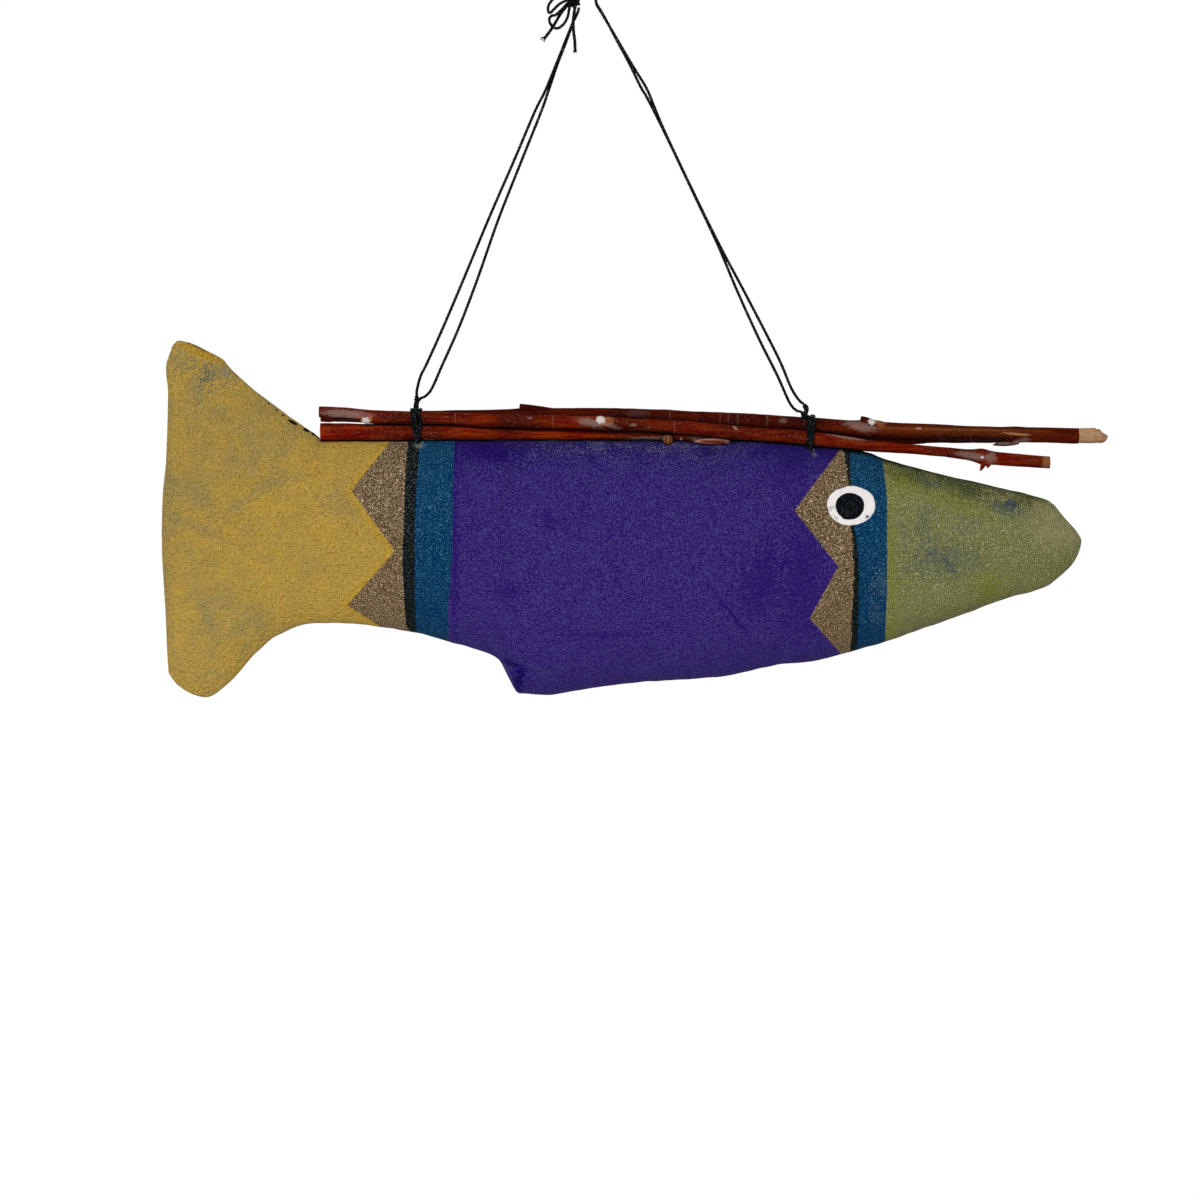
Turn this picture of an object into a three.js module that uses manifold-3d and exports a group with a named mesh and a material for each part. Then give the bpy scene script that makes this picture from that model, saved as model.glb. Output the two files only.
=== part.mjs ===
// Hanging fish ornament: a flat fish sewn from two pieces of canvas, stuffed and painted, with three red-barked
// twigs lashed along its back by two waxed-cord lashings, hung by a doubled cord tied in a bow at the top.
// Millimetres. +X runs from the tail to the head, +Y goes away from the painted face, +Z is up.
// The origin is the inside top of the eye that the ornament hangs by.
import * as THREE from "three";
import { mergeVertices } from "three/addons/utils/BufferGeometryUtils.js";
import Module from "manifold-3d";

const manifold = await Module();
manifold.setup();

// Driving dimensions
const CORD = 1.0; // diameter of the waxed cord
const GAP = 0.3; // air left between pieces that touch

// Fish body: the outline runs over x from the tail's corners to the corners of the blunt nose
const TAIL_X = -139;
const NOSE_X = 156;
const BACK_LINE = [
  [TAIL_X, -119.3], [-136.7, -117.3], [-133.2, -117.7], [-127.3, -120.3], [-121.7, -123.2], [-119.7, -125.7],
  [-109.3, -135], [-98.3, -143.3], [-90.3, -148.8], [-88, -151.2], [-60, -151.3], [17.3, -151.5],
  [30.7, -152.3], [57.3, -152.7], [70.7, -153.5], [87.3, -155.3], [104.3, -159], [137.7, -166.7],
  [153, -170.2], [NOSE_X, -172.2],
];
const BELLY_LINE = [
  [TAIL_X, -230.5], [-136.7, -233], [-128, -237], [-120.3, -232.7], [-110.3, -221.7], [-103.3, -216],
  [-91.5, -212.1], [-83, -212], [-60, -214.6], [-46.7, -217.9], [-34, -221.7], [-29.8, -224],
  [-26.3, -230.3], [-23, -235.3], [-14, -235.7], [0.3, -233.7], [15.7, -231.7], [42.3, -229.9],
  [67.7, -225.1], [71.7, -224.9], [90.7, -220.5], [118.3, -211.3], [137.7, -204.3], [153, -199.7],
  [NOSE_X, -197.7],
];
// The two ends, as [z, x]
const TAIL_EDGE = [
  [-230.5, TAIL_X], [-228, -140.3], [-208.3, -141.1], [-183, -142.3], [-170.3, -142], [-156.7, -140.8],
  [-135.3, -140.3], [-127, -141.1], [-119.3, TAIL_X],
];
const NOSE_EDGE = [
  [-197.7, NOSE_X], [-191.7, 162], [-187.7, 164], [-184.3, 164.7], [-182, 163.7], [-176, 158.7],
  [-172.2, NOSE_X],
];
// Half of the stuffed thickness along the body, as [x, half thickness]
const FULLNESS = [
  [TAIL_X, 6], [-120, 6.6], [-100, 8], [-80, 10.5], [-58, 13.5], [-35, 16.2], [0, 18], [40, 18.5],
  [80, 17.2], [110, 14.8], [135, 11.8], [NOSE_X, 8.5],
];
const TAIL_ROUNDING = 12; // how far in from the tail's edge the stuffing reaches its full thickness
const NOSE_ROUNDING = 32;
const END_REACH = 0.25; // share of the length over which the curve of an end fades into straight columns
const BODY_ROWS = 16;
const WIDEST_COLUMN = 9;
const END_COLUMNS = [TAIL_X + 0.6, NOSE_X - 9, NOSE_X - 5.5, NOSE_X - 0.5]; // where the ends curve most

// Twigs, as stations [x, y, z, radius], with the swollen nodes on them as [x, extra radius, half length]
const TWIG_FRONT = [
  [-89.3, -3.3, -141.5, 1.83], [-81, -3.3, -141.9, 1.92], [-72.3, -3.3, -143.1, 2.25],
  [-29.3, -3.3, -144.4, 2.2], [4, -3.3, -145.3, 2.25], [17.3, -3.3, -145.9, 2.1], [37.3, -3.2, -147.2, 2.3],
  [50.7, -3.2, -148.7, 2.33], [70.7, -3.2, -150.1, 2.5], [87.3, -3.1, -152.1, 2.25],
  [97.3, -3.1, -153.1, 1.75], [111.7, -3, -154.2, 1.58], [124, -3, -155.4, 1.75], [134, -3, -156.7, 2.2],
  [153.4, -3, -158.3, 2],
];
const TWIG_LOWER = [
  [-89, -1.6, -147.9, 2.7], [-58.7, -1.5, -148.2, 2.5], [-29.3, -0.2, -148.6, 2.25], [4, 1, -148.3, 2.3],
  [17.3, 1.2, -148.5, 2.3], [30.7, 1.6, -149.1, 2.3], [44.7, 2.2, -149.6, 2.25], [70.7, 4.4, -149.4, 2.25],
  [90.7, 4.6, -149.1, 2.2], [120.7, 4.5, -149.2, 2.08], [141.3, 4.3, -149.4, 2],
];
const TWIG_BACK = [
  [-66, 1.7, -143.2, 1.95], [-54.3, 1.7, -142.8, 2.05], [-29.3, 1.6, -142.5, 2.15], [-12.7, 1.3, -142.2, 2.3],
  [4, 1, -142.2, 2.3], [34, 0.9, -143.3, 2.4], [54, 0.6, -144.3, 2.45], [70.7, 0.5, -145.4, 2.5],
  [87.3, -0.3, -146.6, 2.55], [104, -0.6, -147.5, 2.6], [137.3, -0.8, -148.8, 2.5], [163, -0.8, -149.3, 2.6],
  [168.7, -0.8, -149.2, 2.5],
];
const FRONT_NODES = [[4, 0.2, 3], [131, 0.6, 2.5]];
const LOWER_NODES = [[27, 0.25, 2.5]];
const BACK_NODES = [[-21, 0.25, 4], [93, 0.35, 4], [142, 0.25, 3]];
const TWIG_SIDES = 9;
const LONGEST_TWIG_RING = 7;
const STUB_SIDES = 8;
const STUB_TAPER = 0.35; // tip radius as a share of the base radius

// Buds and stubs on the twigs: base, tip and base radius
const FRONT_THORN = { base: [132, -3.6, -158], tip: [130, -3.8, -161], radius: 0.9 };
const BACK_STUBS = [
  { base: [-17, 1, -140.6], tip: [-22.8, 1, -138.9], radius: 1 },
  { base: [94, -0.6, -144.8], tip: [89.6, -0.8, -143.1], radius: 0.9 },
  { base: [142.5, -1.6, -151.1], tip: [134.9, -2.2, -152.4], radius: 1.2 },
];
// The narrower splintered tongue left where the upper twig was snapped off
const BROKEN_TIP = { start: [168, -0.9, -149.1], end: [172.5, -0.9, -149.3], startRadius: 2, endRadius: 1.35 };
const BROKEN_SLANT = 0.5;

// Lashings: the loop of cord goes round the twigs and through the canvas just under the seam
const LASHING = 1.0; // how thick the wound cord is
const LASHING_LEFT = {
  topX: -57.4, stitchX: -56.7,
  topWidth: 3.4, stitchWidth: 1.5,
  stitchZ: -152.5, stitchY: 3.2,
};
const LASHING_RIGHT = {
  topX: 73.9, stitchX: 73.6,
  topWidth: 2.7, stitchWidth: 1.1,
  stitchZ: -155.2, stitchY: 4.6,
};
const LASHING_STEPS = 30;
const LASHING_FLAT = 0.7; // share of the band's half width before its edges round off
const STITCH_ROUNDING = 0.5;
const LEFT_NECK = {
  route: [[-57.3, -1, -140.4], [-57.4, -0.9, -139], [-56.8, -0.8, -137.8]],
  radius: 0.8, steps: 3,
};
const LEFT_LASHING_KNOT = { centre: [-56.7, -0.8, -137.6], radii: [1.2, 1, 1] };
const RIGHT_LASHING_KNOT = { centre: [72.6, -0.7, -141], radii: [1.2, 1.2, 1.75] };
const KNOT_SIDES = 10;
const KNOT_RINGS = 7;

// Hanging cord: centre lines of the four strands, the eye and the bow, as [x, y, z]
const LEFT_OUTER = [
  [-57.1, -0.8, -136.2], [-56.9, -0.8, -133.7], [-55.7, -0.8, -129.3], [-53.7, -0.8, -125.3],
  [-48.3, -0.8, -113.3], [-41.5, -0.8, -97.3], [-33.2, -0.7, -77.3], [-24.5, -0.7, -57.3],
  [-17.7, -0.7, -41.3], [-14.2, -0.7, -34.3], [-10.5, -0.7, -25.3], [-7.3, -0.7, -17.3],
  [-5.3, -0.7, -12.3], [-3.5, -0.7, -8.5], [-3, -0.7, -6.6],
];
const LEFT_INNER = [
  [-55.1, -0.8, -136.6], [-53.8, -0.7, -135.8], [-51.9, -0.5, -133.3], [-48.4, 0, -125.3], [-43.1, 0.3, -113.3],
  [-37, 0.6, -97.3], [-30, 0.7, -77.3], [-22.1, 0.7, -57.3], [-15.7, 0.7, -41.3], [-12.9, 0.7, -33.3],
  [-10.2, 0.7, -25.3], [-7.1, 0.7, -17.3], [-5.2, 0.7, -11.7], [-4.6, 0.7, -8.5], [-4.5, 0.7, -6.7],
];
const RIGHT_INNER = [
  [70.9, -0.8, -141.3], [69.2, -0.8, -140.7], [67, -0.7, -138], [63.1, -0.7, -129.3], [57.1, -0.7, -117.3],
  [49.8, -0.7, -101.3], [43.05, -0.7, -85.3], [35.5, -0.7, -69.3], [26, -0.7, -49.3], [20, -0.7, -37.3],
  [17.5, -0.7, -33], [13.75, -0.7, -25.3], [9.45, -0.7, -17.3], [5.6, -0.7, -10], [3, -0.7, -5.7],
];
const RIGHT_OUTER = [
  [72, -0.6, -138.8], [70.3, -0.5, -137.4], [67.7, -0.2, -133.3], [64.4, 0.2, -125.3], [60.5, 0.5, -117.3],
  [52.2, 0.7, -101.3], [43.7, 0.7, -85.3], [35.8, 0.7, -69.3], [26.3, 0.7, -49.3], [22.3, 0.7, -40],
  [19.5, 0.7, -33.3], [14.6, 0.7, -25.3], [9.9, 0.7, -17.3], [5.6, 0.7, -10], [3, 0.7, -5.7],
];
const EYE_RADIUS = 2.2; // of the cord's centre line over the hook
const EYE_ARCH_DEGREES = [0, 45, 90, 135, 180];
const EYE_FOOT_RIGHT = [2.8, -5.3];
const EYE_FOOT_LEFT = [-2.5, -2.6];
const STRAND_APART = 0.7; // each of the doubled strands from the middle of the pair
const BOW_KNOT = { centre: [-4.6, 0, -4.7], radii: [2.2, 1.7, 1.6] };
const BOW_LOOP_UPPER = [
  [-7.3, -1.2, -3.3], [-9.3, -2, -2.8], [-11.2, -2.8, -3.9], [-12.9, -3, -6], [-13.3, -3, -7.8],
  [-12.7, -2.9, -8.9], [-11.3, -2.6, -7.6], [-9.6, -2.3, -5.9], [-7.6, -1.8, -4.7],
];
const BOW_LOOP_LOWER = [
  [-7.3, 0, -5.6], [-9, -0.4, -7.5], [-10.7, -0.8, -9.1], [-12.3, -1.1, -9.6], [-12.9, -1.2, -11],
  [-12, -1.2, -12.9], [-10.2, -1.3, -13.7], [-8.2, -1.4, -12.4], [-6.8, -1.5, -10], [-6.2, -1.6, -7.1],
];
const BOW_END_LEFT = [
  [-7.3, 1.3, -6], [-9.2, 1.4, -8.4], [-10.6, 1.3, -10.8], [-11.9, 1.1, -13], [-13.2, 0.9, -14.9],
  [-14.6, 0.8, -16.7],
];
const BOW_END_RIGHT = [
  [-4.3, -2.1, -6.6], [-4.5, -2.2, -8], [-4.9, -2.2, -11.3], [-4.8, -2.2, -14.7], [-4.4, -2.1, -18],
  [-4.3, -2.1, -21],
];
const STRAND_STEPS = 14;
const EYE_STEPS = 7;
const BOW_LOOP_STEPS = 7;
const BOW_END_STEPS = 3;
const CORD_SIDES = 8;

// Colours
const PURPLE_PAINT = 0x38206f;
const RED_BARK = 0x6e2410;
const BLACK_WAX = 0x101314;

const lerp = THREE.MathUtils.lerp;
const clamp = THREE.MathUtils.clamp;

// A smooth height over x through hand-picked [x, height] points, which never swings past them
function smoothThrough(points) {
  const last = points.length - 1;
  const rise = points.slice(1).map((p, i) => (p[1] - points[i][1]) / (p[0] - points[i][0]));
  const slope = points.map((_, i) => {
    if (i === 0) return rise[0];
    if (i === last) return rise[last - 1];
    return rise[i - 1] * rise[i] <= 0 ? 0 : (2 * rise[i - 1] * rise[i]) / (rise[i - 1] + rise[i]);
  });
  return (x) => {
    let i = 0;
    while (i < last - 1 && x > points[i + 1][0]) i += 1;
    const width = points[i + 1][0] - points[i][0];
    const t = clamp((x - points[i][0]) / width, 0, 1);
    const [t2, t3] = [t * t, t * t * t];
    return (
      (2 * t3 - 3 * t2 + 1) * points[i][1] +
      (t3 - 2 * t2 + t) * width * slope[i] +
      (3 * t2 - 2 * t3) * points[i + 1][1] +
      (t3 - t2) * width * slope[i + 1]
    );
  };
}

// The given places in order, with more put between them so that no step is longer than the limit
function withSteps(places, longest) {
  const sorted = [...new Set(places)].sort((a, b) => a - b);
  const steps = [sorted[0]];
  for (const place of sorted.slice(1)) {
    const from = steps[steps.length - 1];
    const parts = Math.ceil((place - from) / longest);
    for (let k = 1; k <= parts; k += 1) steps.push(lerp(from, place, k / parts));
  }
  return steps;
}

function geometryOf(points, triangles) {
  return new THREE.BufferGeometry()
    .setAttribute("position", new THREE.Float32BufferAttribute(points.flat(), 3))
    .setIndex(triangles.flat());
}

// Skins a row of rings that have equally many points, and closes both ends with flat fans
function skinRings(rings) {
  const sides = rings[0].length;
  const points = rings.flat();
  const triangles = [];
  for (let i = 0; i < rings.length - 1; i += 1) {
    for (let k = 0; k < sides; k += 1) {
      const [a, b] = [i * sides + k, i * sides + ((k + 1) % sides)];
      triangles.push([a, b, a + sides], [b, b + sides, a + sides]);
    }
  }
  const end = (rings.length - 1) * sides;
  for (let k = 1; k < sides - 1; k += 1) {
    triangles.push([0, k + 1, k], [end, end + k, end + k + 1]);
  }
  return geometryOf(points, triangles);
}

// Skins rings that follow each other round a closed loop
function skinLoop(rings) {
  const sides = rings[0].length;
  const triangles = [];
  rings.forEach((_, i) => {
    const next = ((i + 1) % rings.length) * sides;
    for (let k = 0; k < sides; k += 1) {
      const turn = (k + 1) % sides;
      const [a, b] = [i * sides + k, i * sides + turn];
      triangles.push([a, b, next + k], [b, next + turn, next + k]);
    }
  });
  return geometryOf(rings.flat(), triangles);
}

function toSolid(geometry) {
  const bare = geometry.clone();
  bare.deleteAttribute("normal");
  bare.deleteAttribute("uv");
  const merged = mergeVertices(bare, 1e-4);
  return new manifold.Manifold(
    new manifold.Mesh({
      numProp: 3,
      vertProperties: merged.attributes.position.array,
      triVerts: new Uint32Array(merged.index.array),
    }),
  );
}

function toGeometry(solid) {
  const mesh = solid.getMesh();
  return new THREE.BufferGeometry()
    .setAttribute("position", new THREE.Float32BufferAttribute(mesh.vertProperties, 3))
    .setIndex([...mesh.triVerts]);
}

function join(...geometries) {
  return toGeometry(geometries.map(toSolid).reduce((all, next) => all.add(next)));
}

function material(color, roughness) {
  return new THREE.MeshStandardMaterial({ color, roughness, metalness: 0 });
}

// How full the stuffing is at a distance from a rounded end
function endRounding(distance, reach) {
  return Math.sqrt(1 - (1 - clamp(distance / reach, 0, 1)) ** 2);
}

const backAt = smoothThrough(BACK_LINE);
const bellyAt = smoothThrough(BELLY_LINE);
const tailXAt = smoothThrough(TAIL_EDGE);
const noseXAt = smoothThrough(NOSE_EDGE);
const fullnessAt = smoothThrough(FULLNESS);

// A point of the canvas: column is the outline's x, turn goes from the back's seam (0) to the belly's seam (1),
// and side is -1 on the painted face and 1 on the far one
function bodyPoint(column, turn, side) {
  const along = (column - TAIL_X) / (NOSE_X - TAIL_X);
  const down = (1 - Math.cos(Math.PI * turn)) / 2;
  const tailZ = lerp(backAt(TAIL_X), bellyAt(TAIL_X), down);
  const noseZ = lerp(backAt(NOSE_X), bellyAt(NOSE_X), down);
  const tailPull = Math.max(0, 1 - along / END_REACH) ** 2;
  const nosePull = Math.max(0, 1 - (1 - along) / END_REACH) ** 2;
  const x = column + tailPull * (tailXAt(tailZ) - TAIL_X) + nosePull * (noseXAt(noseZ) - NOSE_X);
  const z = lerp(backAt(column), bellyAt(column), down);
  const full =
    fullnessAt(column) *
    Math.sin(Math.PI * turn) *
    endRounding(column - TAIL_X, TAIL_ROUNDING) *
    endRounding(NOSE_X - column, NOSE_ROUNDING);
  return [x, side * full, z];
}

function pillowGeometry() {
  const corners = [...BACK_LINE, ...BELLY_LINE].map((p) => p[0]);
  const columns = withSteps([...corners, ...END_COLUMNS], WIDEST_COLUMN);
  const lastColumn = columns.length - 1;
  const points = [];
  const triangles = [];
  const index = { [-1]: [], [1]: [] };
  columns.forEach((column, i) => {
    for (const side of [-1, 1]) index[side].push([]);
    for (let j = 0; j <= BODY_ROWS; j += 1) {
      const onSeam = i === 0 || i === lastColumn || j === 0 || j === BODY_ROWS;
      points.push(bodyPoint(column, j / BODY_ROWS, onSeam ? 0 : -1));
      index[-1][i].push(points.length - 1);
      if (!onSeam) points.push(bodyPoint(column, j / BODY_ROWS, 1));
      index[1][i].push(points.length - 1);
    }
  });
  for (const side of [-1, 1]) {
    for (let i = 0; i < lastColumn; i += 1) {
      for (let j = 0; j < BODY_ROWS; j += 1) {
        const [a, b] = [index[side][i][j], index[side][i + 1][j]];
        const [c, d] = [index[side][i + 1][j + 1], index[side][i][j + 1]];
        // Each corner cell is split through its corner, so that the two faces never share a triangle
        const throughA = i < lastColumn / 2 === j < BODY_ROWS / 2;
        const halves = throughA ? [[a, c, b], [a, d, c]] : [[a, d, b], [b, d, c]];
        for (const [p, q, r] of halves) triangles.push(side > 0 ? [p, r, q] : [p, q, r]);
      }
    }
  }
  return geometryOf(points, triangles);
}

// Where a twig's middle lies at x, and how thick it is there
function twigAt(stations, x) {
  const [y, z, radius] = [1, 2, 3].map((k) => smoothThrough(stations.map((s) => [s[0], s[k]]))(x));
  return { y, z, radius };
}

// A round section of a twig across x; a slant leans the ring along x, as a rough break does
function twigRing([x, y, z], radius, slant = 0) {
  return Array.from({ length: TWIG_SIDES }, (_, k) => {
    const angle = (2 * Math.PI * k) / TWIG_SIDES;
    return [x + slant * Math.sin(angle), y + radius * Math.cos(angle), z + radius * Math.sin(angle)];
  });
}

function twigGeometry(stations, nodes) {
  const places = stations.map((s) => s[0]);
  for (const [x, , halfLength] of nodes) places.push(x - halfLength, x, x + halfLength);
  const rings = withSteps(places, LONGEST_TWIG_RING).map((x) => {
    const { y, z, radius } = twigAt(stations, x);
    const swellings = nodes.map(([at, extra, half]) => extra * Math.exp(-(((x - at) / half) ** 2)));
    return twigRing([x, y, z], swellings.reduce((sum, swelling) => sum + swelling, radius));
  });
  return skinRings(rings);
}

// A bud, stub or thorn: a cone with its base sunk in the bark
function stubGeometry({ base, tip, radius }) {
  const [from, to] = [new THREE.Vector3(...base), new THREE.Vector3(...tip)];
  const along = to.clone().sub(from);
  const upright = new THREE.Vector3(0, 1, 0);
  const turn = new THREE.Quaternion().setFromUnitVectors(upright, along.clone().normalize());
  return new THREE.CylinderGeometry(radius * STUB_TAPER, radius, along.length(), STUB_SIDES)
    .applyQuaternion(turn)
    .translate(...from.lerp(to, 0.5).toArray());
}

function brokenTipGeometry({ start, end, startRadius, endRadius }) {
  return skinRings([twigRing(start, startRadius, BROKEN_SLANT), twigRing(end, endRadius, BROKEN_SLANT)]);
}

// The furthest point of a group of circles, each grown by the offset, in the direction of the angle
function hullPoint(circles, offset, angle) {
  const [cos, sin] = [Math.cos(angle), Math.sin(angle)];
  const reach = (c) => c.y * cos + c.z * sin + c.radius;
  const outermost = circles.reduce((best, c) => (reach(c) > reach(best) ? c : best));
  return [outermost.y + (outermost.radius + offset) * cos, outermost.z + (outermost.radius + offset) * sin];
}

// One lashing's band, or with spare room the hole that it needs in the canvas
function lashingBand(lashing, spare) {
  const { topX, stitchX, topWidth, stitchWidth, stitchZ, stitchY } = lashing;
  const twigs = [TWIG_FRONT, TWIG_LOWER, TWIG_BACK].map((stations) => twigAt(stations, topX));
  const stitches = [-stitchY, stitchY].map((y) => ({ y, z: stitchZ, radius: STITCH_ROUNDING }));
  const circles = [...twigs, ...stitches];
  const topZ = Math.max(...twigs.map((t) => t.z + t.radius));
  const rings = Array.from({ length: LASHING_STEPS }, (_, i) => {
    const angle = (2 * Math.PI * (i + 0.5)) / LASHING_STEPS;
    const inner = hullPoint(circles, GAP - spare, angle);
    const outer = hullPoint(circles, GAP + LASHING + spare, angle);
    const down = clamp((topZ - (inner[1] + outer[1]) / 2) / (topZ - stitchZ), 0, 1);
    const x = lerp(topX, stitchX, down);
    const half = lerp(topWidth, stitchWidth, down ** 2) / 2 + spare;
    const flat = LASHING_FLAT * half;
    const middle = [(inner[0] + outer[0]) / 2, (inner[1] + outer[1]) / 2];
    return [
      [x - flat, ...inner], [x + flat, ...inner], [x + half, ...middle],
      [x + flat, ...outer], [x - flat, ...outer], [x - half, ...middle],
    ];
  });
  return skinLoop(rings);
}

function cordGeometry(points, steps, radius = CORD / 2) {
  const section = new THREE.Shape(
    Array.from({ length: CORD_SIDES }, (_, k) => {
      const angle = (2 * Math.PI * k) / CORD_SIDES;
      return new THREE.Vector2(radius * Math.cos(angle), radius * Math.sin(angle));
    }),
  );
  const extrudePath = new THREE.CatmullRomCurve3(points.map((p) => new THREE.Vector3(...p)));
  return new THREE.ExtrudeGeometry(section, { steps, extrudePath });
}

function knotGeometry({ centre, radii }) {
  return new THREE.SphereGeometry(1, KNOT_SIDES, KNOT_RINGS)
    .rotateX(Math.PI / 2)
    .scale(...radii)
    .translate(...centre);
}

// The arch of one strand over the hook
function eyeRoute(y) {
  const arch = EYE_ARCH_DEGREES.map((degrees) => {
    const angle = THREE.MathUtils.degToRad(degrees);
    return [EYE_RADIUS * Math.cos(angle), y, CORD / 2 - EYE_RADIUS + EYE_RADIUS * Math.sin(angle)];
  });
  const [right, left] = [EYE_FOOT_RIGHT, EYE_FOOT_LEFT].map(([x, z]) => [x, y, z]);
  return [right, ...arch, left];
}

function fishBody() {
  const holes = [LASHING_LEFT, LASHING_RIGHT].map((lashing) => toSolid(lashingBand(lashing, GAP)));
  return toGeometry(holes.reduce((body, hole) => body.subtract(hole), toSolid(pillowGeometry())));
}

function twigFront() {
  return join(twigGeometry(TWIG_FRONT, FRONT_NODES), stubGeometry(FRONT_THORN));
}

function twigBack() {
  const twig = twigGeometry(TWIG_BACK, BACK_NODES);
  return join(twig, ...BACK_STUBS.map(stubGeometry), brokenTipGeometry(BROKEN_TIP));
}

// The left lashing ends in a short twisted neck and a small knot, where the two left strands start
function lashingLeft() {
  const neck = cordGeometry(LEFT_NECK.route, LEFT_NECK.steps, LEFT_NECK.radius);
  return join(lashingBand(LASHING_LEFT, 0), neck, knotGeometry(LEFT_LASHING_KNOT));
}

// The right lashing carries a small upright knot on its left shoulder
function lashingRight() {
  return join(lashingBand(LASHING_RIGHT, 0), knotGeometry(RIGHT_LASHING_KNOT));
}

const painted = material(PURPLE_PAINT, 0.75);
const bark = material(RED_BARK, 0.5);
const waxedCord = material(BLACK_WAX, 0.6);

const pieces = [
  ["fish_body", fishBody(), painted],
  ["twig_front", twigFront(), bark],
  ["twig_lower", twigGeometry(TWIG_LOWER, LOWER_NODES), bark],
  ["twig_back", twigBack(), bark],
  ["lashing_left", lashingLeft(), waxedCord],
  ["lashing_right", lashingRight(), waxedCord],
  ["cord_left_outer", cordGeometry(LEFT_OUTER, STRAND_STEPS), waxedCord],
  ["cord_left_inner", cordGeometry(LEFT_INNER, STRAND_STEPS), waxedCord],
  ["cord_right_inner", cordGeometry(RIGHT_INNER, STRAND_STEPS), waxedCord],
  ["cord_right_outer", cordGeometry(RIGHT_OUTER, STRAND_STEPS), waxedCord],
  ["cord_eye_front", cordGeometry(eyeRoute(-STRAND_APART), EYE_STEPS), waxedCord],
  ["cord_eye_back", cordGeometry(eyeRoute(STRAND_APART), EYE_STEPS), waxedCord],
  ["bow_knot", knotGeometry(BOW_KNOT), waxedCord],
  ["bow_loop_upper", cordGeometry(BOW_LOOP_UPPER, BOW_LOOP_STEPS), waxedCord],
  ["bow_loop_lower", cordGeometry(BOW_LOOP_LOWER, BOW_LOOP_STEPS), waxedCord],
  ["bow_end_left", cordGeometry(BOW_END_LEFT, BOW_END_STEPS), waxedCord],
  ["bow_end_right", cordGeometry(BOW_END_RIGHT, BOW_END_STEPS), waxedCord],
];

const group = new THREE.Group();
for (const [name, geometry, look] of pieces) {
  const mesh = new THREE.Mesh(geometry, look);
  mesh.name = name;
  group.add(mesh);
}

export default group;
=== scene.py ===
import math

import bpy
import numpy as np
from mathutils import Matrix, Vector, noise


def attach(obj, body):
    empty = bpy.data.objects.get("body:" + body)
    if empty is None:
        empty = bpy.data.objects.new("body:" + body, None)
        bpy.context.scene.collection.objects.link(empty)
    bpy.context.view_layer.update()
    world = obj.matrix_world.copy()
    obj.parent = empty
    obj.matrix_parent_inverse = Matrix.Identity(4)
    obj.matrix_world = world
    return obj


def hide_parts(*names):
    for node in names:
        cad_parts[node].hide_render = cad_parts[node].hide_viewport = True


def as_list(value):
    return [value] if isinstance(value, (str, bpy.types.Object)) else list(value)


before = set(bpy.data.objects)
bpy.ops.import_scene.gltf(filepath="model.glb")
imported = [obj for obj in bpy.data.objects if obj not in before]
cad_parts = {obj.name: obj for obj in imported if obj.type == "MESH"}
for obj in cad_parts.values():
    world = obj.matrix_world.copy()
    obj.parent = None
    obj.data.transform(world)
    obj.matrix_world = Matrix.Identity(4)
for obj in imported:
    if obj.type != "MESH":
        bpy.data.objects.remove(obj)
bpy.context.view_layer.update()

# Camera: straight on, and 90 mm on a 36 mm sensor shows 0.4 m from a metre away
CAMERA_PLACE = (0.004, -1.0, -0.204)
CAMERA_LENS = 90
SENSOR_WIDTH = 36

# Hanging cord: the routes of the part's four strands, its eye and its bow
CORD = 0.001
STRAND_APART = 0.0007  # each of the doubled strands from the middle of the pair
LEFT_OUTER = [
    (-0.0571, -0.0008, -0.1362), (-0.0569, -0.0008, -0.1337), (-0.0557, -0.0008, -0.1293),
    (-0.0537, -0.0008, -0.1253), (-0.0483, -0.0008, -0.1133), (-0.0415, -0.0008, -0.0973),
    (-0.0332, -0.0007, -0.0773), (-0.0245, -0.0007, -0.0573), (-0.0177, -0.0007, -0.0413),
    (-0.0142, -0.0007, -0.0343), (-0.0105, -0.0007, -0.0253), (-0.0073, -0.0007, -0.0173),
    (-0.0053, -0.0007, -0.0123), (-0.0035, -0.0007, -0.0085), (-0.003, -0.0007, -0.0066),
]
LEFT_INNER = [
    (-0.0551, -0.0008, -0.1366), (-0.0538, -0.0007, -0.1358), (-0.0519, -0.0005, -0.1333),
    (-0.0484, 0, -0.1253), (-0.0431, 0.0003, -0.1133), (-0.037, 0.0006, -0.0973),
    (-0.03, 0.0007, -0.0773), (-0.0221, 0.0007, -0.0573), (-0.0157, 0.0007, -0.0413),
    (-0.0129, 0.0007, -0.0333), (-0.0102, 0.0007, -0.0253), (-0.0071, 0.0007, -0.0173),
    (-0.0052, 0.0007, -0.0117), (-0.0046, 0.0007, -0.0085), (-0.0045, 0.0007, -0.0067),
]
RIGHT_INNER = [
    (0.0709, -0.0008, -0.1413), (0.0692, -0.0008, -0.1407), (0.067, -0.0007, -0.138),
    (0.0631, -0.0007, -0.1293), (0.0571, -0.0007, -0.1173), (0.0498, -0.0007, -0.1013),
    (0.04305, -0.0007, -0.0853), (0.0355, -0.0007, -0.0693), (0.026, -0.0007, -0.0493),
    (0.02, -0.0007, -0.0373), (0.0175, -0.0007, -0.033), (0.01375, -0.0007, -0.0253),
    (0.00945, -0.0007, -0.0173), (0.0056, -0.0007, -0.01), (0.003, -0.0007, -0.0057),
]
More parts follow.
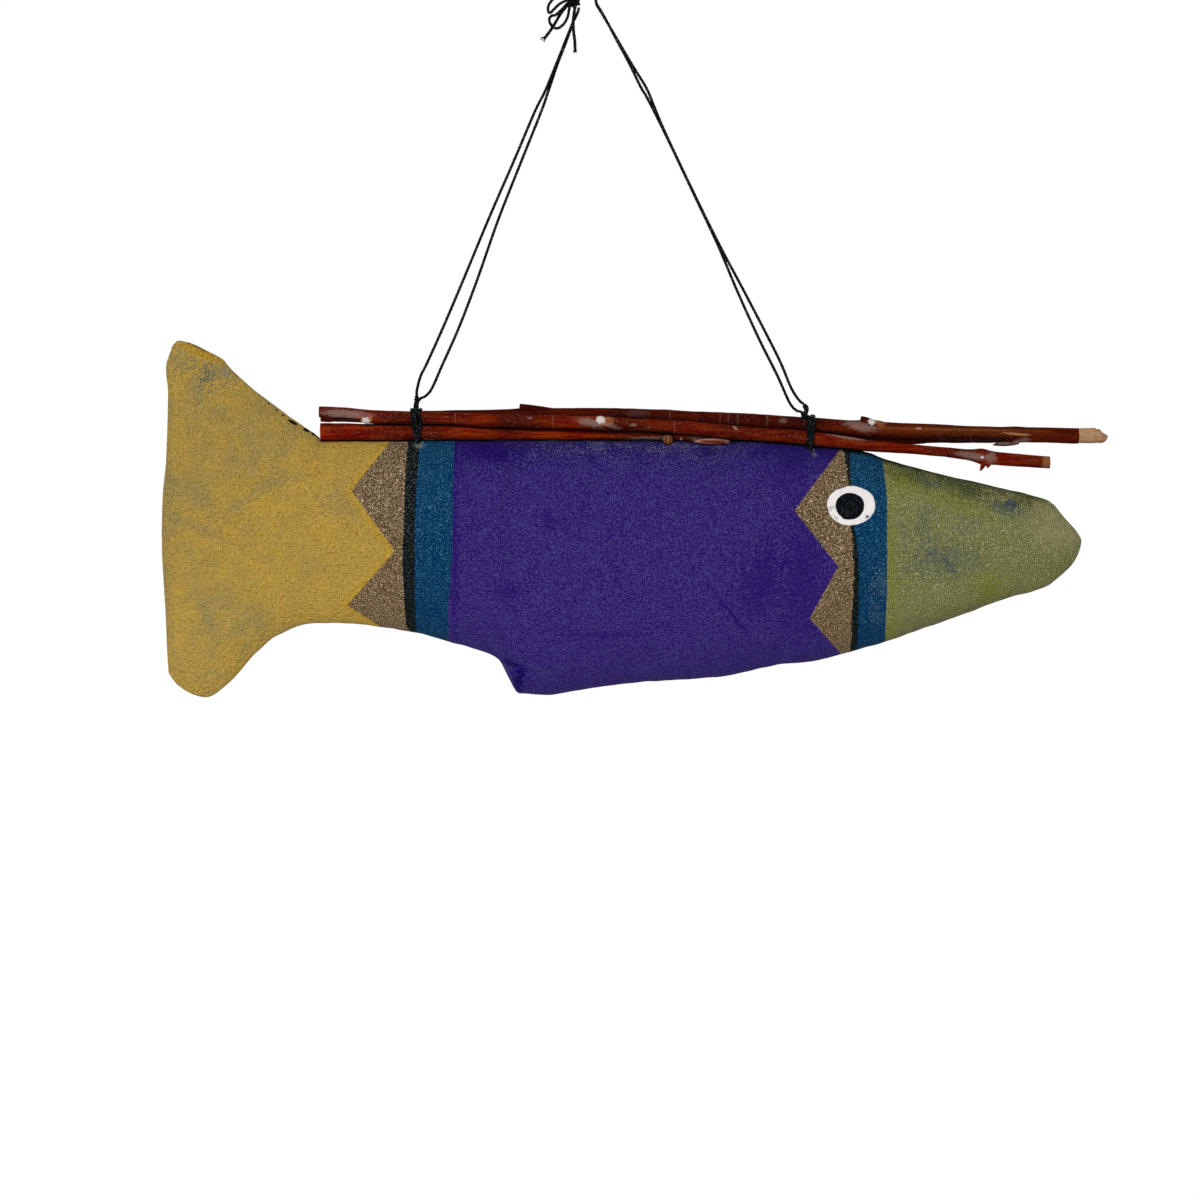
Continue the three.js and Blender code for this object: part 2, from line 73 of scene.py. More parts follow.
RIGHT_OUTER = [
    (0.072, -0.0006, -0.1388), (0.0703, -0.0005, -0.1374), (0.0677, -0.0002, -0.1333),
    (0.0644, 0.0002, -0.1253), (0.0605, 0.0005, -0.1173), (0.0522, 0.0007, -0.1013),
    (0.0437, 0.0007, -0.0853), (0.0358, 0.0007, -0.0693), (0.0263, 0.0007, -0.0493),
    (0.0223, 0.0007, -0.04), (0.0195, 0.0007, -0.0333), (0.0146, 0.0007, -0.0253),
    (0.0099, 0.0007, -0.0173), (0.0056, 0.0007, -0.01), (0.003, 0.0007, -0.0057),
]
EYE_RADIUS = 0.0022
EYE_FOOT_RIGHT = (0.0028, -0.0053)
EYE_FOOT_LEFT = (-0.0025, -0.0026)
BOW_KNOT = (-0.0046, 0, -0.0047)
BOW_LOOP_UPPER = [
    (-0.0066, -0.001, -0.0036), (-0.0073, -0.0012, -0.0033), (-0.0093, -0.002, -0.0028),
    (-0.0112, -0.0028, -0.0039), (-0.0129, -0.003, -0.006), (-0.0133, -0.003, -0.0078),
    (-0.0127, -0.0029, -0.0089), (-0.0113, -0.0026, -0.0076), (-0.0096, -0.0023, -0.0059),
    (-0.0076, -0.0018, -0.0047), (-0.0064, -0.0014, -0.0042),
]
BOW_LOOP_LOWER = [
    (-0.0062, 0, -0.0046), (-0.0073, 0, -0.0056), (-0.009, -0.0004, -0.0075), (-0.0107, -0.0008, -0.0091),
    (-0.0123, -0.0011, -0.0096), (-0.0129, -0.0012, -0.011), (-0.012, -0.0012, -0.0129),
    (-0.0102, -0.0013, -0.0137), (-0.0082, -0.0014, -0.0124), (-0.0068, -0.0015, -0.01),
    (-0.0062, -0.0016, -0.0071), (-0.0057, -0.0013, -0.0054),
]
BOW_END_LEFT = [
    (-0.006, 0.001, -0.0048), (-0.0073, 0.0013, -0.006), (-0.0092, 0.0014, -0.0084),
    (-0.0106, 0.0013, -0.0108), (-0.0119, 0.0011, -0.013), (-0.0132, 0.0009, -0.0149),
    (-0.0146, 0.0008, -0.0167),
]
BOW_END_RIGHT = [
    (-0.0043, -0.0014, -0.0055), (-0.0043, -0.0021, -0.0066), (-0.0045, -0.0022, -0.008),
    (-0.0049, -0.0022, -0.0113), (-0.0048, -0.0022, -0.0147), (-0.0044, -0.0021, -0.018),
    (-0.0043, -0.0021, -0.021),
]
CORD_PLIES = 3
CORD_TWIST = 0.0042  # length over which a ply goes once round
CORD_HOLLOW = 0.83  # share of the radius that the hollows between the plies reach
PLY_HEIGHT = 0.2  # and how much further out the plies themselves stand
CORD_UNEVEN = 0.05
CORD_UNEVEN_SIZE = 0.0011
FINE_STEP = 0.0003
COIL_POINTS = 26  # a turn
COIL_SIDES = 12

# Loose fibres at a cut end of cord
FIBRES = 7
FIBRE_LENGTH = 0.0018
FIBRE_RADIUS = 0.00016
FIBRE_ROOT = 0.0006  # how far inside the cord they start
FIBRE_SPLAY = 0.35
FIBRE_SPREAD = 0.00015

# Fish: the outline as (x, z), its two ends as (z, x) and the fullness as (x, half of the thickness)
TAIL_X = -0.139
NOSE_X = 0.156
BACK_LINE = [
    (TAIL_X, -0.1193), (-0.1367, -0.1173), (-0.1332, -0.1177), (-0.1273, -0.1203), (-0.1217, -0.1232),
    (-0.1197, -0.1257), (-0.1093, -0.135), (-0.0983, -0.1433), (-0.0903, -0.1488), (-0.088, -0.1512),
    (-0.06, -0.1513), (0.0173, -0.1515), (0.0307, -0.1523), (0.0573, -0.1527), (0.0707, -0.1535),
    (0.0873, -0.1547), (0.0933, -0.1553), (0.1043, -0.1586), (0.1377, -0.1667), (0.153, -0.1702),
    (NOSE_X, -0.1722),
]
BELLY_LINE = [
    (TAIL_X, -0.2305), (-0.1367, -0.233), (-0.128, -0.237), (-0.1203, -0.2327), (-0.1103, -0.2217),
    (-0.1033, -0.216), (-0.0915, -0.2121), (-0.083, -0.212), (-0.06, -0.2146), (-0.0467, -0.2179),
    (-0.034, -0.2217), (-0.0298, -0.224), (-0.0263, -0.2303), (-0.023, -0.2353), (-0.014, -0.2357),
    (0.0003, -0.2337), (0.0157, -0.2317), (0.0423, -0.2299), (0.0677, -0.2251), (0.0717, -0.2249),
    (0.0907, -0.2205), (0.1183, -0.2113), (0.1377, -0.2043), (0.153, -0.1997), (NOSE_X, -0.1977),
]
TAIL_EDGE = [
    (-0.2305, TAIL_X), (-0.228, -0.1403), (-0.2083, -0.1411), (-0.183, -0.1423), (-0.1703, -0.142),
    (-0.1567, -0.1408), (-0.1353, -0.1403), (-0.127, -0.1411), (-0.1193, TAIL_X),
]
NOSE_EDGE = [
    (-0.1977, NOSE_X), (-0.1917, 0.162), (-0.1877, 0.164), (-0.1843, 0.1647), (-0.182, 0.1637),
    (-0.176, 0.1587), (-0.1722, NOSE_X),
]
FULLNESS = [
    (TAIL_X, 0.006), (-0.12, 0.0066), (-0.1, 0.008), (-0.08, 0.0105), (-0.058, 0.0135), (-0.035, 0.0162),
    (0, 0.018), (0.04, 0.0185), (0.08, 0.0172), (0.11, 0.0148), (0.135, 0.0118), (NOSE_X, 0.0085),
]
TAIL_ROUNDING = 0.012  # length over which the stuffing swells from the end
NOSE_ROUNDING = 0.032
END_REACH = 0.25  # share of the length over which an end's outline bends the columns
MIDDLE_Z = -0.19  # the thread that runs straight from tail to nose
COLUMN_STEP = 0.00095
TAIL_COLUMNS = 20
NOSE_COLUMNS = 52
BODY_ROWS = 110
PRESSED = 0.0007  # how far the twigs sink into the canvas
PRESSED_START = (-0.0905, -0.089)  # from no pressing to all of it, along x
PRESSED_END = (0.096, 0.09)
FIRM_THICKNESS = 0.004  # where the canvas stands this far out, lumps show in full
SEAM_DEPTH = 0.0005
SEAM_WIDTH = 0.0009
LUMP_HEIGHT = 0.0005
LUMP_SIZE = 0.028
SMALL_LUMP_SIZE = LUMP_SIZE / 2.7
PUCKER_HEIGHT = 0.0004
PUCKER_SIZE = 0.006
PUCKER_REACH = 0.009
SEAM_WAVE = 0.00028  # how far the seam draws the outline in and out
SEAM_WAVE_SIZE = 0.0045
# Folds of the canvas on the painted face: start and end as (x, z), height (negative for a crease) and width
FOLDS = [
    ((-0.136, -0.1188), (-0.1293, -0.1213), 0.0005, 0.0009),
    ((-0.1293, -0.1213), (-0.1222, -0.1237), 0.0005, 0.0009),
    ((-0.0303, -0.2243), (-0.0235, -0.2253), -0.0013, 0.0013),
    ((-0.0235, -0.2253), (-0.015, -0.2288), -0.0008, 0.0016),
    ((-0.0252, -0.2265), (-0.022, -0.2325), -0.0008, 0.0016),
    ((-0.0285, -0.2222), (-0.015, -0.226), 0.0008, 0.0022),
]

# Twigs: stations as (x, y, z, radius), and swollen nodes as (x, extra radius, half length)
TWIG_FRONT = [
    (-0.0893, -0.0033, -0.1415, 0.00183), (-0.081, -0.0033, -0.1419, 0.00192),
    (-0.0723, -0.0033, -0.1431, 0.00225), (-0.0447, -0.0033, -0.1437, 0.0021),
    (-0.0293, -0.0033, -0.1444, 0.0022), (0.004, -0.0033, -0.1453, 0.00225),
    (0.0173, -0.0033, -0.1459, 0.0021), (0.0373, -0.0032, -0.1472, 0.0023),
    (0.0507, -0.0032, -0.1487, 0.00233), (0.0707, -0.0032, -0.1501, 0.0025),
    (0.0873, -0.0031, -0.1521, 0.00225), (0.0973, -0.0031, -0.1531, 0.00175),
    (0.1117, -0.003, -0.1542, 0.00158), (0.124, -0.003, -0.1554, 0.00175),
    (0.134, -0.003, -0.1567, 0.0022), (0.1534, -0.003, -0.1583, 0.002),
]
TWIG_LOWER = [
    (-0.089, -0.0016, -0.1481, 0.003), (-0.07, -0.0015, -0.1483, 0.003),
    (-0.0587, -0.0015, -0.1483, 0.003), (-0.0427, -0.0009, -0.1484, 0.003),
    (-0.0293, -0.0002, -0.1488, 0.0027), (0.004, 0.001, -0.1491, 0.0024),
    (0.0173, 0.0012, -0.1491, 0.0024), (0.0307, 0.0016, -0.1494, 0.0024),
    (0.042, 0.0024, -0.1501, 0.0025), (0.0527, 0.0034, -0.149, 0.0023),
    (0.0707, 0.0044, -0.1494, 0.00225), (0.0907, 0.0046, -0.1497, 0.0022),
    (0.109, 0.0045, -0.1497, 0.0022), (0.1143, 0.0045, -0.1494, 0.0021),
    (0.1413, 0.0043, -0.1494, 0.002),
]
TWIG_BACK = [
    (-0.066, 0.0017, -0.1432, 0.00195), (-0.0543, 0.0017, -0.1428, 0.00205),
    (-0.0293, 0.0016, -0.1425, 0.00215), (-0.0127, 0.0013, -0.1422, 0.0023),
    (0.004, 0.001, -0.1422, 0.0023), (0.034, 0.0009, -0.1433, 0.0024),
    (0.054, 0.0006, -0.1443, 0.00245), (0.0707, 0.0005, -0.1454, 0.0025),
    (0.0873, -0.0003, -0.1466, 0.00255), (0.104, -0.0006, -0.1475, 0.0026),
    (0.1373, -0.0008, -0.1488, 0.0025), (0.1632, -0.0008, -0.1493, 0.0026),
]
BARE_WOOD_PART = [
    (0.1622, -0.0008, -0.1493, 0.0024), (0.164, -0.0008, -0.1493, 0.0025),
    (0.1689, -0.0008, -0.1492, 0.00255),
]
BROKEN_TIP = [
    (0.1682, -0.0009, -0.1493, 0.0023), (0.1702, -0.0009, -0.1493, 0.0024),
    (0.1713, -0.0009, -0.1498, 0.0018), (0.1724, -0.0009, -0.1498, 0.0011),
    (0.1731, -0.0009, -0.1494, 0.0004),
]
SPLINTER = [
    (-0.0888, -0.0033, -0.1437, 0.0011), (-0.0862, -0.0033, -0.1439, 0.0011),
    (-0.0842, -0.0034, -0.1441, 0.0007), (-0.0775, -0.0034, -0.1444, 0.0006),
    (-0.073, -0.0034, -0.1446, 0.0007),
]
FRONT_NODES = [(0.004, 0.0002, 0.003), (0.131, 0.0006, 0.0025)]
LOWER_NODES = [(0.027, 0.00025, 0.0025)]
BACK_NODES = [(-0.021, 0.00025, 0.004), (0.093, 0.00035, 0.004), (0.142, 0.00025, 0.003)]
TWIG_SIDES = 32
TWIG_STEP = 0.0006
BEND_SIZES = (0.009, 0.011)  # of the small random bends along y and z
ROUGH_SIZES = (0.0016, 0.0006)  # of the relief of the bark, coarse and fine
ROUGH_STRETCH = 0.22  # lengths along the twig count this much, which draws the relief out
BUD_RINGS = 12
BUD_ROOT = 0.35  # a bud's outline is a stretch of half a wave: it starts here and its taper is its length
BUD_FULLNESS = 0.8

# Bumps on the painted side of the twigs: x, z, height, half length, half width
FRONT_BUMPS = [
    (0.0042, -0.1441, 0.0006, 0.0014, 0.0013),
    (0.0068, -0.1442, 0.0004, 0.0012, 0.0015),
    (-0.0737, -0.1446, 0.0006, 0.0014, 0.0012),
    (0.0487, -0.147, 0.0003, 0.001, 0.001),
]
LOWER_BUMPS = [
    (0.0265, -0.1512, 0.0009, 0.0012, 0.0016),
    (0.0468, -0.1519, 0.0005, 0.0014, 0.001),
]
BACK_BUMPS = [
    (0.0943, -0.1446, 0.0006, 0.0014, 0.0012),
    (0.0968, -0.1449, 0.0004, 0.0014, 0.0013),
]

# Lashings: the cord goes round the twigs and through the canvas just under the seam. Each has its turns as
# (share of the width, height over the bark, seed), its neck, where the strands of a leg run together down
# to the turns, the centre and axis of the coil round the neck, and loose ends as (tip, direction, seed).
LASHINGS = {
    "left": dict(
        top_x=-0.0572, top_width=0.0036,
        stitch_x=-0.0565, stitch_width=0.0013, stitch_y=0.0032, stitch_z=-0.1526,
        turns=[(-0.95, 0.0005, 0), (0.0, 0.00065, 2), (0.95, 0.0005, 4)],
        neck=[
            [(-0.0571, -0.0008, -0.136), (-0.0572, -0.0008, -0.1373), (-0.0576, -0.0009, -0.1388),
             (-0.0577, -0.0012, -0.1412)],
            [(-0.0549, -0.0008, -0.1365), (-0.056, -0.0008, -0.137), (-0.0567, -0.0009, -0.1382),
             (-0.0568, -0.001, -0.1397), (-0.0566, -0.0014, -0.1412)],
        ],
        coil=((-0.0567, -0.0008, -0.1369), (0.3, 0, 1)),
        loose_ends=[],
    ),
    "right": dict(
        top_x=0.0743, top_width=0.0031,
        stitch_x=0.0733, stitch_width=0.0014, stitch_y=0.0046, stitch_z=-0.1558,
        turns=[(-0.9, 0.0005, 1), (0.1, 0.0006, 3), (0.9, 0.0005, 5)],
        neck=[
            [(0.0707, -0.0008, -0.1411), (0.0715, -0.0008, -0.1418), (0.0722, -0.001, -0.1424),
             (0.073, -0.0012, -0.143)],
            [(0.072, -0.0006, -0.1388), (0.0727, -0.0007, -0.1393), (0.0731, -0.0008, -0.1402),
             (0.0729, -0.0009, -0.1413), (0.072, -0.001, -0.1422), (0.0713, -0.0012, -0.143),
             (0.0728, -0.0016, -0.1433)],
            [(0.0716, -0.0016, -0.1393), (0.0721, -0.0017, -0.14), (0.0724, -0.0018, -0.141),
             (0.0722, -0.0018, -0.142), (0.073, -0.0018, -0.1428)],
        ],
        coil=((0.072, -0.0012, -0.142), (0.6, 0, -1)),
        loose_ends=[((0.0742, -0.0064, -0.1549), (0.35, -0.3, -0.9), 8)],
    ),
}
TURN_ANGLES = (-95, -445)  # from the canvas round the twigs and back to it, in degrees
TURN_POINTS = 110
TURN_SWAY = 0.00025  # how far the turns wave to and fro over the bark
STITCH_HOLE = 0.0002  # radius round which the cord turns where it goes into the canvas
STITCH_DEPTH = 0.0006  # how far under that its ends meet
COIL_RADII = (0.0008, 0.0007)
COIL_TURNS = 1.3
COIL_CORD = 0.0009


# Curves and meshes

def smooth_through(points):
    """A smooth height over x through given (x, height) points, which never swings past them."""
    xs, ys = np.array(points).T
    rise = np.diff(ys) / np.diff(xs)
    same_way = rise[:-1] * rise[1:] > 0
    total = np.where(same_way, rise[:-1] + rise[1:], 1)
    slope = np.concatenate([rise[:1], np.where(same_way, 2 * rise[:-1] * rise[1:] / total, 0), rise[-1:]])

    def height(x):
        i = np.clip(np.searchsorted(xs, x) - 1, 0, len(xs) - 2)
        width = xs[i + 1] - xs[i]
        t = np.clip((x - xs[i]) / width, 0, 1)
        start = (2 * t**3 - 3 * t**2 + 1) * ys[i] + (t**3 - 2 * t**2 + t) * width * slope[i]
        return start + (3 * t**2 - 2 * t**3) * ys[i + 1] + (t**3 - t**2) * width * slope[i + 1]

    return height


def smooth_route(points, step=0.0004):
    """Points a small step apart on a smooth line through the given ones."""
    points = np.array(points, dtype=float)
    ends = np.vstack([2 * points[0] - points[1], points, 2 * points[-1] - points[-2]])
    fine = []
    for a, b, c, d in zip(ends, ends[1:], ends[2:], ends[3:]):
        for t in np.linspace(0, 1, 12, endpoint=False):
            fine.append(0.5 * (2 * b + (c - a) * t + (2 * a - 5 * b + 4 * c - d) * t**2
                               + (3 * b - a - 3 * c + d) * t**3))
    return evenly(np.array(fine + [points[-1]]), step)


def distances(points):
    """How far each point of a line is along it."""
    steps = np.linalg.norm(np.diff(points, axis=0), axis=1)
    return np.concatenate([[0], np.cumsum(steps)])


def evenly(points, step):
    """The same line with its points about a step apart."""
    along = distances(points)
    places = np.linspace(0, along[-1], max(2, round(along[-1] / step) + 1))
    return np.stack([np.interp(places, along, points[:, k]) for k in range(3)], axis=1)


def bell(distance, reach):
    """1 at no distance, and falling smoothly to almost nothing at twice the reach."""
    return np.exp(-((distance / reach) ** 2))


def unit(vectors):
    return vectors / np.linalg.norm(vectors, axis=-1, keepdims=True)


def sideways(points):
    """Two directions across a line at each of its points, carried along it without a twist."""
    ahead = unit(np.gradient(points, axis=0))
    start = np.cross(ahead[0], (0, 1, 0))
    if np.linalg.norm(start) < 0.1:
        start = np.cross(ahead[0], (1, 0, 0))
    across = [unit(start)]
    for direction in ahead[1:]:
        carried = across[-1] - direction * np.dot(across[-1], direction)
        across.append(unit(carried))
    across = np.array(across)
    return across, np.cross(ahead, across)


def rough(points, size, seed):
    """Smooth random values from about -1 to 1 at the points, with bumps of about that size."""
    shift = Vector((seed * 7.13, seed * 3.71, seed * 5.37))
    return np.array([noise.noise(Vector(p) / size + shift) for p in points])


def wave(xs, size, seed):
    """Smooth random values from about -1 to 1 along x, with waves of about that size."""
    return rough([(x, 0, 0) for x in xs], size, seed)


def add_object(name, data, place=(0, 0, 0), turn=(0, 0, 0)):
    made = bpy.data.objects.new(name, data)
    made.location = place
    made.rotation_euler = turn
    bpy.context.scene.collection.objects.link(made)
    return made


def mesh_piece(name, points, faces, materials, slot, nodes, face_slots=None):
    """A detailed piece that stands for the named solids."""
    mesh = bpy.data.meshes.new(name)
    mesh.from_pydata([tuple(p) for p in points], [], [tuple(int(i) for i in f) for f in faces])
    for material in materials:
        mesh.materials.append(material)
    mesh.polygons.foreach_set("use_smooth", [True] * len(mesh.polygons))
    if face_slots is not None:
        mesh.polygons.foreach_set("material_index", face_slots)
    mesh.update()
    piece = add_object(name, mesh)
    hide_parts(*nodes)
    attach(piece, "root")
    return piece


def ring_faces(rings, sides):
    """The quads between rings of equally many points, and one face over each end."""
    faces = []
    for start in range(0, (rings - 1) * sides, sides):
        for k in range(sides):
            a, b = start + k, start + (k + 1) % sides
            faces.append((a, b, b + sides, a + sides))
    last = (rings - 1) * sides
    faces.append(list(reversed(range(sides))))
    faces.append(list(range(last, last + sides)))
    return faces


def turns_of(sides):
    """The directions from a ring's middle to its points."""
    return np.linspace(0, 2 * np.pi, sides, endpoint=False)


def rings_round(route, across, up, reach):
    """Points and faces of a closed tube whose rings lie as far from a line as the reach says."""
    angle = turns_of(reach.shape[1])[None, :, None]
    outward = np.cos(angle) * across[:, None, :] + np.sin(angle) * up[:, None, :]
    points = route[:, None, :] + reach[:, :, None] * outward
    return points.reshape(-1, 3), ring_faces(*reach.shape)


def tube(route, radius, sides=14, plies=CORD_PLIES, ends=(0.75, 0.75)):
    """Points and faces of a piece of cord along a fine line, a few plies that wind round each other."""
    wound = turns_of(sides)[None, :] - 2 * np.pi * distances(route)[:, None] / CORD_TWIST
    swell = CORD_HOLLOW + PLY_HEIGHT * np.abs(np.cos(plies * wound / 2))
    swell *= 1 + CORD_UNEVEN * rough(route, CORD_UNEVEN_SIZE, sides)[:, None]
    swell[0] *= ends[0]
    swell[-1] *= ends[1]
    return rings_round(route, *sideways(route), radius * swell)


def joined(parts):
    """Several (points, faces) as one."""
    points, faces, first = [], [], 0
    for part_points, part_faces in parts:
        points.append(part_points)
        faces.extend([i + first for i in face] for face in part_faces)
        first += len(part_points)
    return np.vstack(points), faces


# Shader nodes

class Output:
    """What a node gives. It varies over the surface, and is added and multiplied like a number."""

    def __init__(self, shader, socket):
        self.shader = shader
        self.socket = socket

    def __add__(self, other):
        return self.shader.math("ADD", self, other)

    def __sub__(self, other):
        return self.shader.math("SUBTRACT", self, other)

    def __rsub__(self, other):
        return self.shader.math("SUBTRACT", other, self)

    def __mul__(self, other):
        return self.shader.math("MULTIPLY", self, other)

    def __truediv__(self, other):
        return self.shader.math("DIVIDE", self, other)


class Shader:
    """A material made of nodes. Its calls add nodes, take outputs or plain values and return an output."""

    def __init__(self, name):
        self.material = bpy.data.materials.new(name)
        self.material.use_nodes = True
        self.nodes = self.material.node_tree.nodes
        self.surface = self.nodes["Principled BSDF"]
        self.place = self.node("TexCoord", output="Object")

    def node(self, kind, inputs=(), output=0, **settings):
        made = self.nodes.new("ShaderNode" + kind)
        for key, value in settings.items():
            setattr(made, key, value)
        for key, value in dict(inputs).items():
            self.put(made.inputs[key], value)
        return Output(self, made.outputs[output])

    def put(self, socket, value):
        if isinstance(value, Output):
            self.material.node_tree.links.new(value.socket, socket)
        else:
            socket.default_value = value

    def math(self, operation, *values):
        return self.node("Math", enumerate(values), operation=operation)

    def axes(self, place, names):
        """The place's numbers along the named axes."""
        return [self.node("SeparateXYZ", {0: place}, output=name) for name in names]

    def between(self, value, low, high, start=0.0, end=1.0):
        """Goes smoothly from start to end as the value goes from low to high."""
        inputs = {"Value": value, "From Min": low, "From Max": high, "To Min": start, "To Max": end}
        return self.node("MapRange", inputs, interpolation_type="SMOOTHSTEP")

    def mix(self, factor, a, b):
        """The colour a, or b where the factor is 1."""
        a, b = [(*c, 1) if isinstance(c, tuple) else c for c in (a, b)]
        return self.node("Mix", {0: factor, 6: a, 7: b}, output=2, data_type="RGBA")

    def grade(self, factor, a, b):
        """The number a, or b where the factor is 1."""
        return self.node("Mix", {0: factor, 2: a, 3: b}, data_type="FLOAT")

    def noise(self, size, stretch=(1, 1, 1), turn=0.0, detail=2.0, roughness=0.5, seed=0):
        """Smooth noise from 0 to 1 with features of about that size, longer where the stretch is larger."""
        inputs = {"Vector": self.place, "Location": (seed * 0.31, seed * 0.57, seed * 0.23),
                  "Rotation": (0, turn, 0), "Scale": [size * s for s in stretch]}
        moved = self.node("Mapping", inputs, vector_type="TEXTURE")
        inputs = {"Vector": moved, "Scale": 1.0, "Detail": detail, "Roughness": roughness}
        return self.node("TexNoise", inputs, output="Fac")

    def oval(self, centre, radii, turn=0.0, jitter=0.0, softness=0.25):
        """1 inside an oval of x and z, 0 outside. The turn is the rise of its long axis in degrees."""
        ahead, rise = math.cos(math.radians(turn)), math.sin(math.radians(turn))
        parts = []
        for (a, b), radius in zip(((ahead, rise), (-rise, ahead)), radii):
            start = -(a * centre[0] + b * centre[1]) / radius
            part = self.math("MULTIPLY_ADD", self.spot[0], a / radius, start)
            parts.append(self.math("MULTIPLY_ADD", self.spot[1], b / radius, part))
        distance = self.math("SQRT", parts[0] * parts[0] + parts[1] * parts[1])
        return self.between(distance + jitter, 1 - softness, 1 + softness, 1.0, 0.0)

    def marked(self, colour, marks, ragged, softness, shown=1.0):
        """The colour with marks on it: centre, radii, rise in degrees, colour and strength of each."""
        for centre, radii, rise, tint, strength in marks:
            inside = self.oval(centre, radii, rise, ragged, softness)
            colour = self.mix(inside * shown * strength, colour, tint)
        return colour

    def line(self, value, points):
        """What straight stretches through (value, result) points give at the value."""
        values, results = np.array(points).T
        low, high = results.min() - 0.001, results.max() + 0.001
        inside = self.node("MapRange", {"Value": value, "From Min": values[0], "From Max": values[-1]})
        curve = self.node("FloatCurve", {"Value": inside})
        mapping = curve.socket.node.mapping
        line = mapping.curves[0]
        spots = [((v - values[0]) / (values[-1] - values[0]), (r - low) / (high - low)) for v, r in points]
        line.points[0].location = spots[0]
        line.points[1].location = spots[-1]
        for spot in spots[1:-1]:
            line.points.new(*spot)
        for point in line.points:
            point.handle_type = "VECTOR"
        mapping.update()
        return self.node("MapRange", {"Value": curve, "To Min": low, "To Max": high})

    def crevices(self, reach, low, high):
        """1 where another surface comes closer than the reach, 0 where the surface is open: the mask of the
        painted shade in crevices.
        """
        openness = self.node("AmbientOcclusion", {"Distance": reach}, output="AO", samples=8)
        return self.between(openness, low, high, 1.0, 0.0)

    def finish(self, colour, roughness, relief, height, metallic=None, **uniform):
        """The material, with a relief of that height and its plain values set on the surface itself."""
        for key, value in {"Base Color": colour, "Roughness": roughness, "Metallic": metallic}.items():
            if value is not None:
                self.put(self.surface.inputs[key], value)
        for key, value in uniform.items():
            self.surface.inputs[key.replace("_", " ")].default_value = value
        normal = self.node("Bump", {"Height": relief, "Distance": height, "Strength": 1.0})
        self.put(self.surface.inputs["Normal"], normal)
        return self.material


# Paint on the canvas. The edges of its areas are (z, x) as they show from straight on, a metre away.
TAIL_ZIGZAG = [
    (-0.2205, -0.0575), (-0.2058, -0.0801), (-0.1877, -0.0644), (-0.1675, -0.0788), (-0.146, -0.0618),
]
TAIL_BRONZE_END = [
    (-0.216, -0.0588), (-0.212, -0.0607), (-0.2053, -0.0612), (-0.195, -0.0617), (-0.1858, -0.0618),
    (-0.1772, -0.0613), (-0.167, -0.0611), (-0.1567, -0.0605), (-0.15, -0.0599),
]
TAIL_BLACK_END = [
    (-0.218, -0.057), (-0.2053, -0.0577), (-0.195, -0.0578), (-0.1797, -0.0577), (-0.167, -0.0572),
    (-0.1567, -0.0564), (-0.149, -0.0558),
]
TAIL_BLUE_END = [
    (-0.22, -0.0463), (-0.2077, -0.0467), (-0.1977, -0.046), (-0.19, -0.0452), (-0.1643, -0.045),
    (-0.149, -0.0444),
]
HEAD_ZIGZAG = [
    (-0.23, 0.0914), (-0.2101, 0.0739), (-0.1928, 0.0834), (-0.1741, 0.0688), (-0.151, 0.0861),
]
HEAD_BRONZE_END = [
    (-0.2235, 0.087), (-0.217, 0.0877), (-0.2043, 0.0883), (-0.194, 0.0887), (-0.1863, 0.0882),
    (-0.1793, 0.0877), (-0.1653, 0.0867), (-0.1599, 0.0862), (-0.153, 0.085),
]
HEAD_BLACK_END = [
    (-0.2235, 0.0892), (-0.2143, 0.09), (-0.2043, 0.0903), (-0.194, 0.0903), (-0.1863, 0.0897),
    (-0.1793, 0.089), (-0.165, 0.0877), (-0.153, 0.087),
]
HEAD_BLUE_END = [
    (-0.2235, 0.099), (-0.2109, 0.0992), (-0.2017, 0.0997), (-0.1863, 0.0997), (-0.171, 0.0997),
    (-0.1653, 0.0992), (-0.154, 0.0976),
]

# The upper edge as (x, z), for the painted shade and the dirt along it under the twigs
TOP_SHADE = [
    (-0.092, -0.1507), (-0.0553, -0.1507), (0.0057, -0.1509), (0.0307, -0.1512), (0.0417, -0.1519),
    (0.0527, -0.1507), (0.0723, -0.1527), (0.0873, -0.1547), (0.0933, -0.1555), (0.104, -0.1588),
    (0.1377, -0.1668), (0.1473, -0.1692), (0.1523, -0.1706), (0.1573, -0.1745),
]
SHADE_FADES = (0.149, 0.154)  # where it ends, along x
SEAM_SHOWS = (0.082, 0.088)  # where the dark line of the seam comes in, along x
SEAM_FADES = (0.112, 0.14)  # and where it gets fainter
RIM_WIDTH = 0.0034  # of the thicker ochre along the tail's zigzag
PAINT_BLUR = 0.00012  # how softly one paint ends on the next
FACE_BLUR = 0.0002  # how softly the front's own marks end at the seam

# Ovals on the front: centre and radii, the widths along x first
EYE_PLACE = ((0.0877, -0.1725), (0.00808, 0.00663))
PUPIL_PLACE = ((0.0873, -0.1727), (0.00485, 0.00447))
FRAYED_PLACE = ((0.015, -0.153), (0.036, 0.03))
BLUE_SPECKS = ((0.0965, -0.203), (0.003, 0.01))

